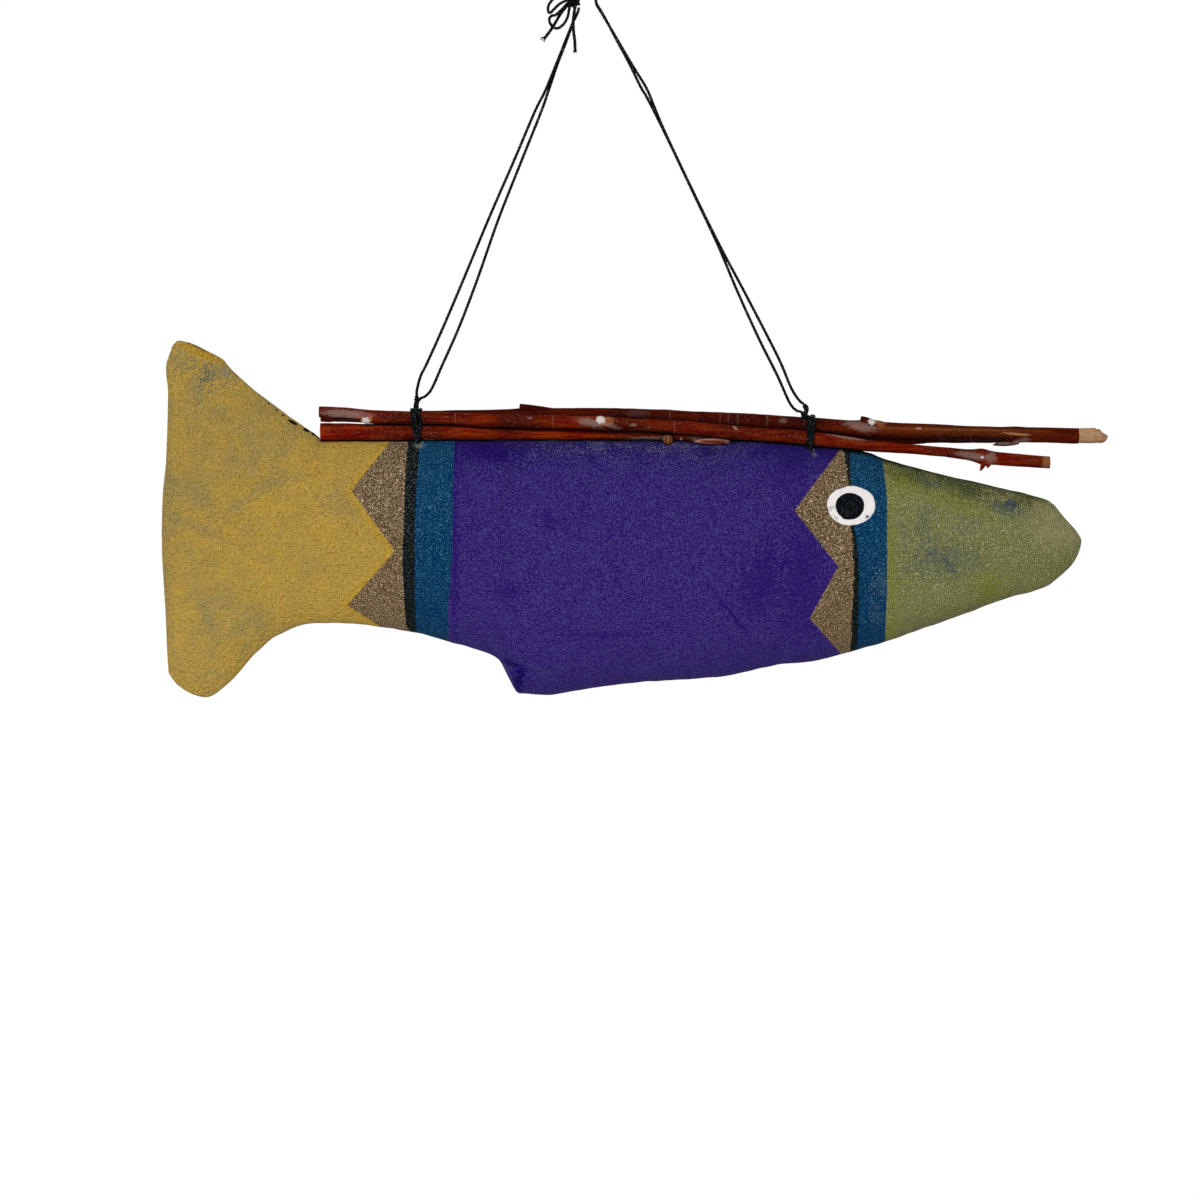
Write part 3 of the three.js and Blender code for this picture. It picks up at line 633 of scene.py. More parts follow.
# Grain of the canvas and its paint: the size of its features
FINE_SIZE = 0.0004
PEBBLE_SIZE = 0.0013
BLOTCH_SIZE = 0.0055
CLOUD_SIZE = 0.021
BRISTLE_SIZE = 0.00033
BRISTLE_STRETCH = (2.5, 1, 1)
THREAD_PITCH = (0.00077, 0.00093)  # along and across the fish
THREAD_WANDER = 1.6  # how many threads wide they bend to and fro
THREAD_WANDER_SIZE = 0.004
SECOND_CROSSING = 0.35  # how much every second crossing of the threads stands out
CANVAS_RELIEF = 0.0003
MEAN_GRAIN = 0.505
RAKED_HEIGHT = (-0.225, -0.155)  # from belly to back: towards the back the grain's painted light and shade, and its bumps, grow stronger
RAKED_GRAIN = (0.72, 1.28)
CREVICE = 0.0009  # reach of the painted shade where the twigs, the cord and the canvas meet

OCHRE = (0.515, 0.325, 0.057)
OCHRE_RICH = (0.52, 0.32, 0.035)
RIDGE_GOLD = (0.47, 0.27, 0.025)
KHAKI = (0.35, 0.262, 0.085)
GREY_GREEN = (0.21, 0.2, 0.115)
BARE_CANVAS = (0.36, 0.33, 0.24)
BRUSH_BLUE = (0.075, 0.12, 0.105)
BRONZE = (0.235, 0.152, 0.079)
BRONZE_GLINT = (0.64, 0.49, 0.33)
BRONZE_DARK = (0.1, 0.055, 0.018)
CHARCOAL = (0.002, 0.0055, 0.0065)
CHARCOAL_GLINT = (0.09, 0.108, 0.1)
BLUE = (0.0003, 0.034, 0.108)
BLUE_GLINT = (0.045, 0.19, 0.3)
BLUE_WORN = (0.1, 0.19, 0.23)
PURPLE = (0.022, 0.004, 0.15)
PURPLE_IN_SHADE = (0.009, 0.001, 0.115)
PURPLE_WEAR_AND_GLINT = (0.078, 0.052, 0.25)
SHADOW_BLUE = (0.012, 0.008, 0.05)
FRAYED = (0.2, 0.2, 0.32)
FIBRE_GREY = (0.33, 0.36, 0.35)
GREEN = (0.19, 0.197, 0.061)
GREEN_BRIGHT = (0.42, 0.4, 0.19)
GREEN_BLUE = (0.085, 0.115, 0.105)
GREEN_DARK = (0.038, 0.045, 0.016)
GREEN_YELLOW = (0.21, 0.235, 0.025)
NOSE_CREAM = (0.42, 0.36, 0.19)
STAIN_BLUE = (0.03, 0.07, 0.11)
EYE_WHITE = (0.84, 0.81, 0.79)
PUPIL_BLACK = (0.002, 0.003, 0.004)
PUPIL_SHEEN = (0.022, 0.026, 0.028)
THREAD_BLACK = (0.01, 0.01, 0.008)

# Brush marks, thin places and painted shade on each paint's front: centre, radii, rise in degrees, colour,
# strength
OCHRE_MARKS = [
    ((-0.1303, -0.1343), (0.0045, 0.006), 0, GREY_GREEN, 0.4),
    ((-0.1365, -0.1242), (0.0032, 0.004), 0, GREY_GREEN, 0.45),
    ((-0.1277, -0.1303), (0.0005, 0.0038), -10, BRUSH_BLUE, 0.7),
    ((-0.1263, -0.1296), (0.0005, 0.0036), -12, BRUSH_BLUE, 0.8),
    ((-0.1249, -0.129), (0.0005, 0.0032), -14, BRUSH_BLUE, 0.7),
    ((-0.1208, -0.1277), (0.001, 0.0018), 0, BARE_CANVAS, 0.6),
    ((-0.1245, -0.1272), (0.0065, 0.0034), -25, GREY_GREEN, 0.45),
    ((-0.1287, -0.1216), (0.0078, 0.0013), -23, RIDGE_GOLD, 0.95),
    ((-0.1297, -0.1199), (0.005, 0.0003), -23, BRONZE_DARK, 0.75),
    ((-0.1289, -0.1312), (0.0005, 0.0035), -10, BRUSH_BLUE, 0.5),
    ((-0.1, -0.1638), (0.007, 0.0012), 16, GREY_GREEN, 0.3),
    ((-0.1105, -0.168), (0.008, 0.0018), 38, GREY_GREEN, 0.32),
    ((-0.1303, -0.1797), (0.011, 0.0017), -26, GREY_GREEN, 0.32),
    # These two darken the tail's left edge, where the canvas rounds off to the seam: painted shade
    ((-0.1412, -0.165), (0.0028, 0.036), 0, GREY_GREEN, 0.28),
    ((-0.1405, -0.212), (0.0022, 0.02), 0, GREY_GREEN, 0.25),
    ((-0.0798, -0.1718), (0.009, 0.0065), 0, GREY_GREEN, 0.3),
    ((-0.126, -0.2063), (0.005, 0.0042), 0, GREY_GREEN, 0.3),
    ((-0.1335, -0.2255), (0.009, 0.009), 0, GREY_GREEN, 0.22),
]
PURPLE_MARKS = [
    ((-0.0323, -0.1553), (0.0115, 0.0036), 0, PURPLE, 0.85),
    ((-0.0133, -0.177), (0.0016, 0.0042), 12, PURPLE, 0.6),
    ((-0.0267, -0.2013), (0.0065, 0.0025), 0, PURPLE, 0.5),
    ((0.0047, -0.2157), (0.0125, 0.0011), 0, PURPLE, 0.5),
    ((0.0577, -0.1975), (0.0065, 0.0115), -14, PURPLE, 0.6),
    ((0.072, -0.195), (0.0095, 0.022), 0, PURPLE, 0.55),
    ((0.0663, -0.1613), (0.008, 0.008), 0, PURPLE, 0.5),
    # These two darken the fin's creases: painted shade
    ((-0.0232, -0.23), (0.0024, 0.0043), -12, PURPLE_IN_SHADE, 0.9),
    ((-0.0272, -0.2246), (0.004, 0.001), -20, PURPLE_IN_SHADE, 0.7),
    ((-0.0165, -0.227), (0.0048, 0.0007), -24, PURPLE_WEAR_AND_GLINT, 0.6),
    ((-0.0127, -0.1533), (0.0005, 0.0013), -75, SHADOW_BLUE, 0.8),
    ((0.0183, -0.1543), (0.0006, 0.0022), -60, SHADOW_BLUE, 0.8),
    ((0.0407, -0.1545), (0.0022, 0.0014), -30, SHADOW_BLUE, 0.7),
    ((0.047, -0.2075), (0.0105, 0.0007), -50, PURPLE, 0.8),
    ((-0.0443, -0.184), (0.0013, 0.034), 0, PURPLE, 0.7),
]
BLUE_MARKS = [
    ((0.098, -0.1975), (0.0012, 0.004), 0, BLUE_WORN, 0.22),
    ((0.0963, -0.2093), (0.002, 0.0026), 0, BLUE_WORN, 0.18),
]
EYE_MARKS = [
    ((0.0931, -0.1764), (0.0005, 0.0004), 0, PUPIL_BLACK, 0.9),
    ((0.0811, -0.1733), (0.0009, 0.0007), 0, GREY_GREEN, 0.5),
    ((0.0826, -0.1766), (0.0012, 0.0005), -40, GREY_GREEN, 0.4),
]
GREEN_MARKS = [
    ((0.1387, -0.1733), (0.0062, 0.0026), -14, GREEN_BLUE, 0.75),
    ((0.1415, -0.172), (0.0022, 0.0013), -14, STAIN_BLUE, 0.7),
    ((0.119, -0.1905), (0.011, 0.0058), 0, GREEN_BLUE, 0.5),
    ((0.115, -0.1885), (0.0026, 0.0012), -50, STAIN_BLUE, 0.35),
    ((0.1195, -0.1915), (0.0028, 0.0012), -60, STAIN_BLUE, 0.4),
    ((0.1012, -0.1907), (0.0016, 0.028), 0, GREEN_YELLOW, 0.5),
    ((0.108, -0.1632), (0.012, 0.0026), -16, GREEN_DARK, 0.65),
    ((0.1245, -0.1672), (0.0095, 0.0032), -14, GREEN_DARK, 0.5),
    ((0.1135, -0.1652), (0.004, 0.0016), -16, GREEN_BLUE, 0.6),
    ((0.1335, -0.2), (0.0045, 0.0042), 20, GREEN_YELLOW, 0.65),
    ((0.1045, -0.1648), (0.0055, 0.003), -18, GREEN_YELLOW, 0.7),
    ((0.122, -0.1712), (0.012, 0.0032), -16, GREEN_YELLOW, 0.45),
    ((0.156, -0.1797), (0.0078, 0.0054), -20, NOSE_CREAM, 0.5),
]
STITCHES = [
    ((-0.0984, -0.1448), (0.0019, 0.0005), -28),
    ((-0.0939, -0.1474), (0.0012, 0.0005), -27),
    ((-0.0915, -0.1486), (0.0008, 0.0005), -27),
    ((-0.0899, -0.1496), (0.0006, 0.0005), -30),
    ((-0.1064, -0.1386), (0.0004, 0.00025), -36),
    ((-0.1038, -0.1407), (0.0004, 0.00025), -36),
    ((-0.1017, -0.1424), (0.0005, 0.00025), -33),
]
LASHING_WEAR = [
    ((-0.0562, -0.1522), (0.0014, 0.001), 0, FIBRE_GREY, 0.5),
    ((0.0748, -0.1546), (0.0006, 0.0013), 30, FIBRE_GREY, 0.45),
]


class Canvas(Shader):
    """The painted canvas: where its points show, its weave and grain, and its paints."""

    def __init__(self, name):
        super().__init__(name)
        x, y, z = self.axes(self.place, "XYZ")
        middle_x, nearest, middle_z = CAMERA_PLACE
        away = y - nearest
        self.x = (x - middle_x) / away + middle_x
        self.z = (z - middle_z) / away + middle_z
        self.spot = (self.x, self.z)
        self.front = self.between(y, -FACE_BLUR, FACE_BLUR, 1.0, 0.0)
        self.fine = self.noise(FINE_SIZE, detail=1)
        self.pebble = self.noise(PEBBLE_SIZE, detail=1, seed=1)
        self.blotch = self.noise(BLOTCH_SIZE, detail=2, roughness=0.55, seed=2)
        self.cloud = self.noise(CLOUD_SIZE, detail=3, roughness=0.55, seed=3)
        falling = self.noise(BRISTLE_SIZE, BRISTLE_STRETCH, 0.8, detail=0, seed=4)
        rising = self.noise(BRISTLE_SIZE, BRISTLE_STRETCH, -0.9, detail=0, seed=5)
        slants = self.math("MAXIMUM", falling, rising)
        self.weave = self.woven()
        grain = slants * 0.5 + self.fine * 0.4 + self.weave * 0.1
        raked = self.between(self.z, *RAKED_HEIGHT, *RAKED_GRAIN)
        self.grain = (grain - MEAN_GRAIN) * raked + MEAN_GRAIN

    def woven(self):
        """Height of the plain weave: a bump at each crossing of the threads, every second one higher."""
        threads = self.node("UVMap", uv_map="threads")
        wander = self.noise(THREAD_WANDER_SIZE, detail=1, seed=6)
        warp, weft = [self.math("SINE", (along + wander * (pitch * THREAD_WANDER)) * (math.pi / pitch))
                      for along, pitch in zip(self.axes(threads, "XY"), THREAD_PITCH)]
        crossing = warp * weft
        return crossing * crossing + crossing * SECOND_CROSSING

    def past(self, edge, raggedness=0.0):
        """How far a point is past a painted edge, towards the head."""
        jitter = (self.pebble - 0.5) * (raggedness * 2)
        return self.x - self.line(self.z, edge) + jitter

    def grained(self, low, high, patches=0.0):
        """1 at the bright tops of the grain, 0 in between, with more of them in some places."""
        return self.between(self.grain + (self.blotch - 0.5) * patches, low, high)

    def with_painted_relief(self, colour, depth):
        """The colour, lighter on the tops of the grain and darker in its pits: painted light and shade of
        the relief.
        """
        light = (self.grain - MEAN_GRAIN) * depth + 1.0
        return self.node("VectorMath", {0: colour, "Scale": light}, operation="SCALE")

    def with_front_marks(self, colour, marks):
        """The colour with brush marks, thin places and painted shade on the front, all with ragged edges.
        """
        ragged = (self.grain - 0.5) * 3 + (self.pebble - 0.5) * 3
        return self.marked(colour, marks, ragged, 0.5, self.front)

    def top_shade(self, depth):
        """1 in the strip of painted shade and dirt along the upper edge, under the twigs, fading with
        depth.
        """
        below = self.line(self.x, TOP_SHADE) - self.z
        ragged = below + (self.grain - 0.5) * (depth * 2.2)
        shaded = self.between(ragged, depth * 0.2, depth, 1.0, 0.0)
        return shaded * self.between(self.x, *SHADE_FADES, 1.0, 0.0)

    def ochre(self):
        """Yellow ochre with khaki where it is thin, and thick and rich along the zigzag."""
        where = self.cloud * 0.6 + self.blotch * 0.4
        thin = self.between(where + (self.grain - 0.5) * 0.7, 0.4, 0.7)
        thin = thin * self.between(self.past(TAIL_ZIGZAG), -0.04, -0.008, 1.0, 0.4)
        colour = self.mix(thin, OCHRE, KHAKI)
        rim = self.between(self.past(TAIL_ZIGZAG), -RIM_WIDTH, -0.6 * RIM_WIDTH)
        colour = self.mix(rim * 0.6, self.with_front_marks(colour, OCHRE_MARKS), OCHRE_RICH)
        return self.with_painted_relief(colour, 1.6)

    def charcoal(self):
        return self.mix(self.grained(0.5, 0.73), CHARCOAL, CHARCOAL_GLINT)

    def blue(self):
        """Blue, with a few bare specks low on the head's band."""
        colour = self.mix(self.grained(0.51, 0.66, 0.05), BLUE, BLUE_GLINT)
        colour = self.with_front_marks(colour, BLUE_MARKS)
        specks = self.oval(*BLUE_SPECKS, softness=0.6) * self.grained(0.6, 0.63, 0.15)
        return self.mix(specks * self.front * 0.75, colour, FIBRE_GREY)

    def bronze(self):
        # Dark in the pits of the grain and bright on its tops: painted shade and glints
        colour = self.mix(self.grained(0.43, 0.52), BRONZE_DARK, BRONZE)
        return self.mix(self.grained(0.53, 0.66), colour, BRONZE_GLINT)

    def purple(self):
        """Purple, with painted shade along the upper edge and the canvas frayed under the middle of the
        twigs.
        """
        # Lighter on the tops of the grain: worn paint, with painted glints
        colour = self.mix(self.grained(0.43, 0.6, 0.05), PURPLE, PURPLE_WEAR_AND_GLINT)
        colour = self.with_front_marks(colour, PURPLE_MARKS)
        # Painted shade along the upper edge, under the twigs
        colour = self.mix(self.top_shade(0.011) * 0.6, colour, PURPLE_IN_SHADE)
        frayed = self.top_shade(0.012) * self.grained(0.56, 0.61, 0.3)
        colour = self.mix(frayed * self.oval(*FRAYED_PLACE, softness=0.4), colour, FRAYED)
        return self.mix(self.top_shade(0.0012) * 0.6, colour, SHADOW_BLUE)

    def green(self):
        """Green over blue that shows in places, mottled dark along the upper edge."""
        mottled = self.top_shade(0.0075) * self.between(self.blotch + self.pebble * 0.5, 0.66, 0.84)
        # Pale on the tops of the grain: painted glints
        colour = self.mix(self.grained(0.48, 0.66, 0.1), GREEN, GREEN_BRIGHT)
        blueish = self.between(self.cloud, 0.45, 0.7) * self.between(self.blotch, 0.4, 0.62)
        colour = self.mix(blueish * 0.4, colour, GREEN_BLUE)
        colour = self.with_painted_relief(self.with_front_marks(colour, GREEN_MARKS), 0.5)
        colour = self.mix(mottled * 0.65, colour, GREEN_DARK)
        return self.mix(self.top_shade(0.0018) * 0.6, colour, GREEN_DARK)

    def with_eye(self, colour):
        """The colour with the painted eye on it, and a number that is 1 inside the eye."""
        uneven = (self.blotch - 0.5) * 0.18 + (self.pebble - 0.5) * 0.04
        eye = self.oval(*EYE_PLACE, 0, uneven, 0.02)
        pupil = self.oval(*PUPIL_PLACE, 0, uneven * 1.5, 0.03)
        strokes = self.noise(0.0006, (1, 1, 2.5), 0.4, detail=2, seed=9)
        colour = self.mix(eye, colour, self.with_front_marks(EYE_WHITE, EYE_MARKS))
        black = self.mix(self.between(strokes, 0.5, 0.75), PUPIL_BLACK, PUPIL_SHEEN)
        return self.mix(pupil, colour, black), eye


def painted_canvas():
    s = Canvas("painted_canvas")
    charcoal, blue, bronze, purple, green = s.charcoal(), s.blue(), s.bronze(), s.purple(), s.green()
    areas = [
        (TAIL_ZIGZAG, bronze, 0.00012),
        (TAIL_BRONZE_END, charcoal, 0.0004),
        (TAIL_BLACK_END, blue, 0.0004),
        (TAIL_BLUE_END, purple, 0.00015),
        (HEAD_ZIGZAG, bronze, 0.00015),
        (HEAD_BRONZE_END, charcoal, 0.0008),
        (HEAD_BLACK_END, blue, 0.0007),
        (HEAD_BLUE_END, green, 0.0002),
    ]
    colour = s.ochre()
    starts = []
    for edge, paint, raggedness in areas:
        starts.append(s.between(s.past(edge, raggedness), -PAINT_BLUR, PAINT_BLUR))
        colour = s.mix(starts[-1], colour, paint)
    colour = s.with_front_marks(colour, LASHING_WEAR)
    colour = s.marked(colour, [(*stitch, THREAD_BLACK, 1.0) for stitch in STITCHES], 0.0, 0.2, s.front)
    bronze_areas = starts[0] - starts[1] + (starts[4] - starts[5])
    colour, eye = s.with_eye(colour)
    seam = s.top_shade(0.0007) * s.between(s.x, *SEAM_SHOWS) * s.between(s.x, *SEAM_FADES, 0.9, 0.3)
    colour = s.mix(seam, colour, CHARCOAL)
    # Painted shade in the crevices, in charcoal
    colour = s.mix(s.crevices(CREVICE, 0.25, 0.75), colour, CHARCOAL)
    metal = bronze_areas * (1.0 - eye)
    is_ochre = 1.0 - starts[0]
    marks = s.pebble * s.grade(is_ochre, 1.6, 3.6) + s.grain * 3.4
    relief = (s.weave * s.grade(is_ochre, 0.8, 0.35) + marks) * s.grade(eye, 1.0, 0.3)
    roughness = s.grade(metal, s.grade(s.fine, 0.45, 0.68), 0.42)
    return s.finish(colour, roughness, relief, CANVAS_RELIEF, metal * 0.25, Specular_IOR_Level=0.03)


# Bark and wood

BARK_RED = (0.128, 0.0028, 0.0004)
BARK_ORANGE = (0.26, 0.027, 0.001)
BARK_MAROON = (0.028, 0.0022, 0.001)
BARK_BROWN = (0.13, 0.026, 0.004)
BARK_BLACK = (0.004, 0.003, 0.003)
BARK_GREY = (0.25, 0.16, 0.135)
DUST = (0.42, 0.31, 0.26)
SCAR_WHITE = (0.68, 0.61, 0.57)
KNOB_TAN = (0.36, 0.16, 0.06)
PINK_PALE = (0.45, 0.25, 0.19)
BARE_WOOD = (0.42, 0.235, 0.12)
WOOD_FIBRE = (0.3, 0.15, 0.062)
BARK_RELIEF = 0.0001
WOOD_RELIEF = 0.00015

# Marks on the bark: centre, radii, rise in degrees, colour, strength. Patches are mottled, spots are clean.
FRONT_PATCHES = [
    ((-0.0803, -0.1424), (0.0078, 0.0014), -4, BARK_GREY, 0.85),
    # The black slit under the split end: painted shadow
    ((-0.0802, -0.1442), (0.0056, 0.0007), -2, BARK_BLACK, 1.0),
    ((-0.0872, -0.144), (0.0016, 0.001), 0, BARK_MAROON, 0.9),
    ((-0.0193, -0.1436), (0.0009, 0.0004), 0, BARK_GREY, 0.7),
    ((0.015, -0.146), (0.0013, 0.0005), 0, BARK_GREY, 0.7),
    ((0.0008, -0.1451), (0.0045, 0.0015), -12, BARK_GREY, 0.8),
    ((0.0068, -0.1461), (0.004, 0.0006), -14, BARK_GREY, 0.6),
    ((0.0487, -0.1468), (0.0005, 0.0012), 35, PINK_PALE, 0.6),
    ((0.0857, -0.1497), (0.006, 0.0009), -10, BARK_GREY, 0.75),
    ((0.1275, -0.1562), (0.005, 0.0012), -10, BARK_GREY, 0.7),
    ((0.1338, -0.157), (0.0016, 0.002), 0, BARK_GREY, 0.7),
    ((0.0066, -0.1443), (0.0019, 0.0018), 0, KNOB_TAN, 0.6),
]
FRONT_SPOTS = [
    ((0.0042, -0.1441), (0.0014, 0.0013), 0, SCAR_WHITE, 0.9),
    ((-0.072, -0.1438), (0.0005, 0.0012), 0, KNOB_TAN, 0.7),
    ((-0.0737, -0.1445), (0.0014, 0.0011), 0, SCAR_WHITE, 0.85),
    ((0.1307, -0.1568), (0.0005, 0.0004), 0, SCAR_WHITE, 0.8),
    ((0.1523, -0.1583), (0.0015, 0.003), 0, KNOB_TAN, 0.5),
]
LOWER_PATCHES = [
    ((-0.053, -0.1508), (0.0022, 0.0003), 0, BARK_GREY, 0.6),
    ((0.0205, -0.1503), (0.006, 0.0008), 0, BARK_GREY, 0.75),
    ((0.0395, -0.1502), (0.0062, 0.0008), -5, BARK_GREY, 0.85),
    ((0.0468, -0.1519), (0.0014, 0.0008), 0, BARK_GREY, 0.8),
    # Darker where the lower twig runs on under the back twig: painted shade, in the bark's own maroon
    ((0.118, -0.149), (0.042, 0.004), 0, BARK_MAROON, 0.6),
    ((0.0265, -0.1513), (0.0019, 0.0024), 0, KNOB_TAN, 0.6),
    ((0.0259, -0.151), (0.0004, 0.0012), 0, BARK_MAROON, 0.9),
    ((0.0272, -0.1512), (0.0003, 0.0012), 0, BARK_MAROON, 0.8),
]
LOWER_SPOTS = [
    ((-0.0892, -0.1489), (0.0005, 0.0026), 0, PINK_PALE, 0.7),
    ((0.031, -0.1504), (0.0004, 0.0004), 0, SCAR_WHITE, 0.6),
    ((0.0395, -0.1514), (0.0045, 0.0013), -3, PINK_PALE, 0.7),
    ((0.0415, -0.1515), (0.0036, 0.0006), -3, BARK_RED, 0.9),
]
BACK_PATCHES = [
    ((0.122, -0.1478), (0.036, 0.0016), -1, BARK_BROWN, 0.6),
    # A thin tan streak along the middle of the back twig: painted highlight
    ((0.12, -0.1473), (0.03, 0.0004), -1, KNOB_TAN, 0.2),
    ((0.0905, -0.1462), (0.005, 0.0015), -15, BARK_GREY, 0.7),
    ((0.0968, -0.1449), (0.002, 0.0012), -15, KNOB_TAN, 0.55),
    ((-0.0195, -0.1399), (0.006, 0.0014), 0, BARK_MAROON, 0.8),
    ((0.159, -0.1483), (0.0042, 0.0009), -6, BARK_MAROON, 0.9),
    ((0.1385, -0.152), (0.003, 0.0005), 0, BARK_GREY, 0.6),
    ((0.144, -0.1513), (0.003, 0.0011), 12, BARK_GREY, 0.7),
    ((0.065, -0.1443), (0.0012, 0.0009), 0, BARK_GREY, 0.4),
    ((0.0165, -0.1418), (0.004, 0.001), 0, BARK_GREY, 0.2),
    ((-0.005, -0.141), (0.055, 0.004), 0, BARK_MAROON, 0.4),
]
BACK_SPOTS = [
    ((0.0943, -0.1447), (0.0011, 0.0011), 0, SCAR_WHITE, 0.85),
    ((0.1099, -0.147), (0.0009, 0.0004), 0, PINK_PALE, 0.6),
    ((0.1425, -0.1489), (0.0042, 0.0004), -4, KNOB_TAN, 0.8),
]

# Growth rings, thin pale lines round the bark, at these places along x
FRONT_RINGS = (-0.044, -0.0117, 0.0287)
BACK_RINGS = (0.0273, 0.044, 0.0467, 0.0498, 0.0597)
RING_Z = -0.1455
RING_RADII = (0.0002, 0.01)
RING_STRENGTH = 0.13


def bark(name, darkness, patches, rings, spots):
    """Red bark with dull clouds, orange streaks and pale specks, and its marks on top."""
    s = Shader(name)
    s.spot = s.axes(s.place, "XZ")
    streaks = s.noise(0.0008, (16, 1, 1), detail=3, roughness=0.6)
    cloud = s.noise(0.011, (2, 1, 1), detail=3, seed=1)
    fine = s.noise(0.0004, (2.5, 1, 1), detail=3, roughness=0.65, seed=2)
    colour = s.mix(s.between(streaks, 0.4, 0.64), BARK_RED, BARK_ORANGE)
    colour = s.mix(s.between(cloud, 0.35, 0.7, 0.0, 0.6) + darkness, colour, BARK_MAROON)
    dust = s.between(s.noise(0.00026, (1.3, 1, 1), detail=1, seed=3), 0.66, 0.73)
    colour = s.mix(dust * s.between(cloud, 0.35, 0.6, 0.15, 0.6), colour, DUST)
    flaky = (fine + streaks * 0.5 - 0.75) * 2.6
    mottled = s.between(fine, 0.32, 0.6, 0.45, 1.0)
    ring_marks = [((x, RING_Z), RING_RADII, 0, DUST, RING_STRENGTH) for x in rings]
    colour = s.marked(colour, patches + ring_marks, flaky, 0.25, mottled)
    colour = s.marked(colour, spots, flaky * 0.6, 0.3)
    # Painted shade in the crevices between the twigs and against the cord and canvas
    colour = s.mix(s.crevices(2 * CREVICE, 0.3, 0.8), colour, BARK_BLACK)
    relief = streaks * 0.6 + fine
    return s.finish(colour, s.grade(streaks, 0.45, 0.62), relief, BARK_RELIEF, Specular_IOR_Level=0.01)


def bare_wood():
    s = Shader("bare_wood")
    fibres = s.noise(0.0003, (12, 1, 1), detail=3, roughness=0.6)
    colour = s.mix(s.between(fibres, 0.45, 0.7), BARE_WOOD, WOOD_FIBRE)
    return s.finish(colour, 0.7, fibres, WOOD_RELIEF, Specular_IOR_Level=0.2)


# Waxed cord

CORD_BLACK = (0.002, 0.003, 0.0035)
CORD_WAX_AND_SHEEN = (0.075, 0.1, 0.095)
WAX_RELIEF = 0.00006


def waxed_cord():
    s = Shader("waxed_cord")
    wax = s.noise(0.0007, detail=3, roughness=0.65)
    fibres = s.noise(0.00018, detail=2, seed=1)
    # Pale specks of wax, with painted sheen, on black cord
    colour = s.mix(s.between(wax + fibres * 0.3, 0.71, 0.85), CORD_BLACK, CORD_WAX_AND_SHEEN)
    return s.finish(colour, s.grade(wax, 0.4, 0.62), fibres, WAX_RELIEF, Specular_IOR_Level=0.04)


# Camera and cords

def make_camera():
    data = bpy.data.cameras.new("camera")
    data.sensor_width = SENSOR_WIDTH
    data.lens = CAMERA_LENS
    bpy.context.scene.camera = add_object("camera", data, CAMERA_PLACE, (math.pi / 2, 0, 0))


def eye_route(y):
    """One strand over the hook, from the right leg to the bow's knot."""
    top = CORD / 2 - EYE_RADIUS
    arch = [(EYE_RADIUS * math.cos(a), y, top + EYE_RADIUS * math.sin(a))
            for a in np.radians((0, 45, 90, 135, 180))]
    right_x, right_z = EYE_FOOT_RIGHT
    left_x, left_z = EYE_FOOT_LEFT
    knot_x, _, knot_z = BOW_KNOT
    return [(right_x, y, right_z), *arch, (left_x, y, left_z), (knot_x + 0.001, y / 2, knot_z)]


def cord_piece(name, parts, wax, *nodes):
    return mesh_piece(name, *joined(parts), [wax], "waxed_cord", nodes)


def frayed_end(tip, direction, seed):
    """A few loose fibres that splay from a cut end of cord."""
    maker = np.random.default_rng(seed)
    tip, direction = np.array(tip), np.array(direction)
    parts = []
    for _ in range(FIBRES):
        heading = unit(direction + maker.normal(0, FIBRE_SPLAY, 3))
        start = tip - direction * FIBRE_ROOT + maker.normal(0, FIBRE_SPREAD, 3)
        route = start + np.outer((0, 0.5, 1), heading * FIBRE_LENGTH)
        parts.append(tube(evenly(route, FINE_STEP), FIBRE_RADIUS, sides=6, plies=1, ends=(1, 0.3)))
    return parts


def wound_coil(centre, axis, radii, turns, pitch, cord=CORD):
    """A tight coil of cord round a knot, as one tube. Radii are the coil's half widths across its axis."""
    axis = unit(np.array(axis, dtype=float))
    across = unit(np.cross(axis, (0.3, 1, 0.2)))
    up = np.cross(axis, across)
    angle = np.linspace(0, 2 * np.pi * turns, int(COIL_POINTS * turns))
    rise = (angle / (2 * np.pi) - turns / 2) * pitch
    route = (np.array(centre) + np.outer(rise, axis) + np.outer(np.cos(angle) * radii[0], across)
             + np.outer(np.sin(angle) * radii[1], up))
    return tube(evenly(route, FINE_STEP), cord / 2, COIL_SIDES)


def make_bow(wax):
    """The pieces of the bow: its knot, two loops and two frayed ends."""
    coils = [
        wound_coil(BOW_KNOT, (1, 0, 0.35), (0.0012, 0.0011), 2.6, 0.00105),
        wound_coil(BOW_KNOT, (0.5, 0.2, 1), (0.0011, 0.0012), 1.6, 0.001),
    ]
    pieces = [cord_piece("bow_knot_wraps", coils, wax, "bow_knot")]
    for name, route, node in (("bow_upper_loop", BOW_LOOP_UPPER, "bow_loop_upper"),
                              ("bow_lower_loop", BOW_LOOP_LOWER, "bow_loop_lower")):
        pieces.append(cord_piece(name, [tube(smooth_route(route), CORD / 2)], wax, node))
    for name, route, node, seed in (("bow_left_end", BOW_END_LEFT, "bow_end_left", 3),
                                    ("bow_right_end", BOW_END_RIGHT, "bow_end_right", 4)):
        fine = smooth_route(route)
        fibres = frayed_end(fine[-1], unit(fine[-1] - fine[-4]), seed)
        pieces.append(cord_piece(name, [tube(fine, CORD * 0.55)] + fibres, wax, node))
    return pieces


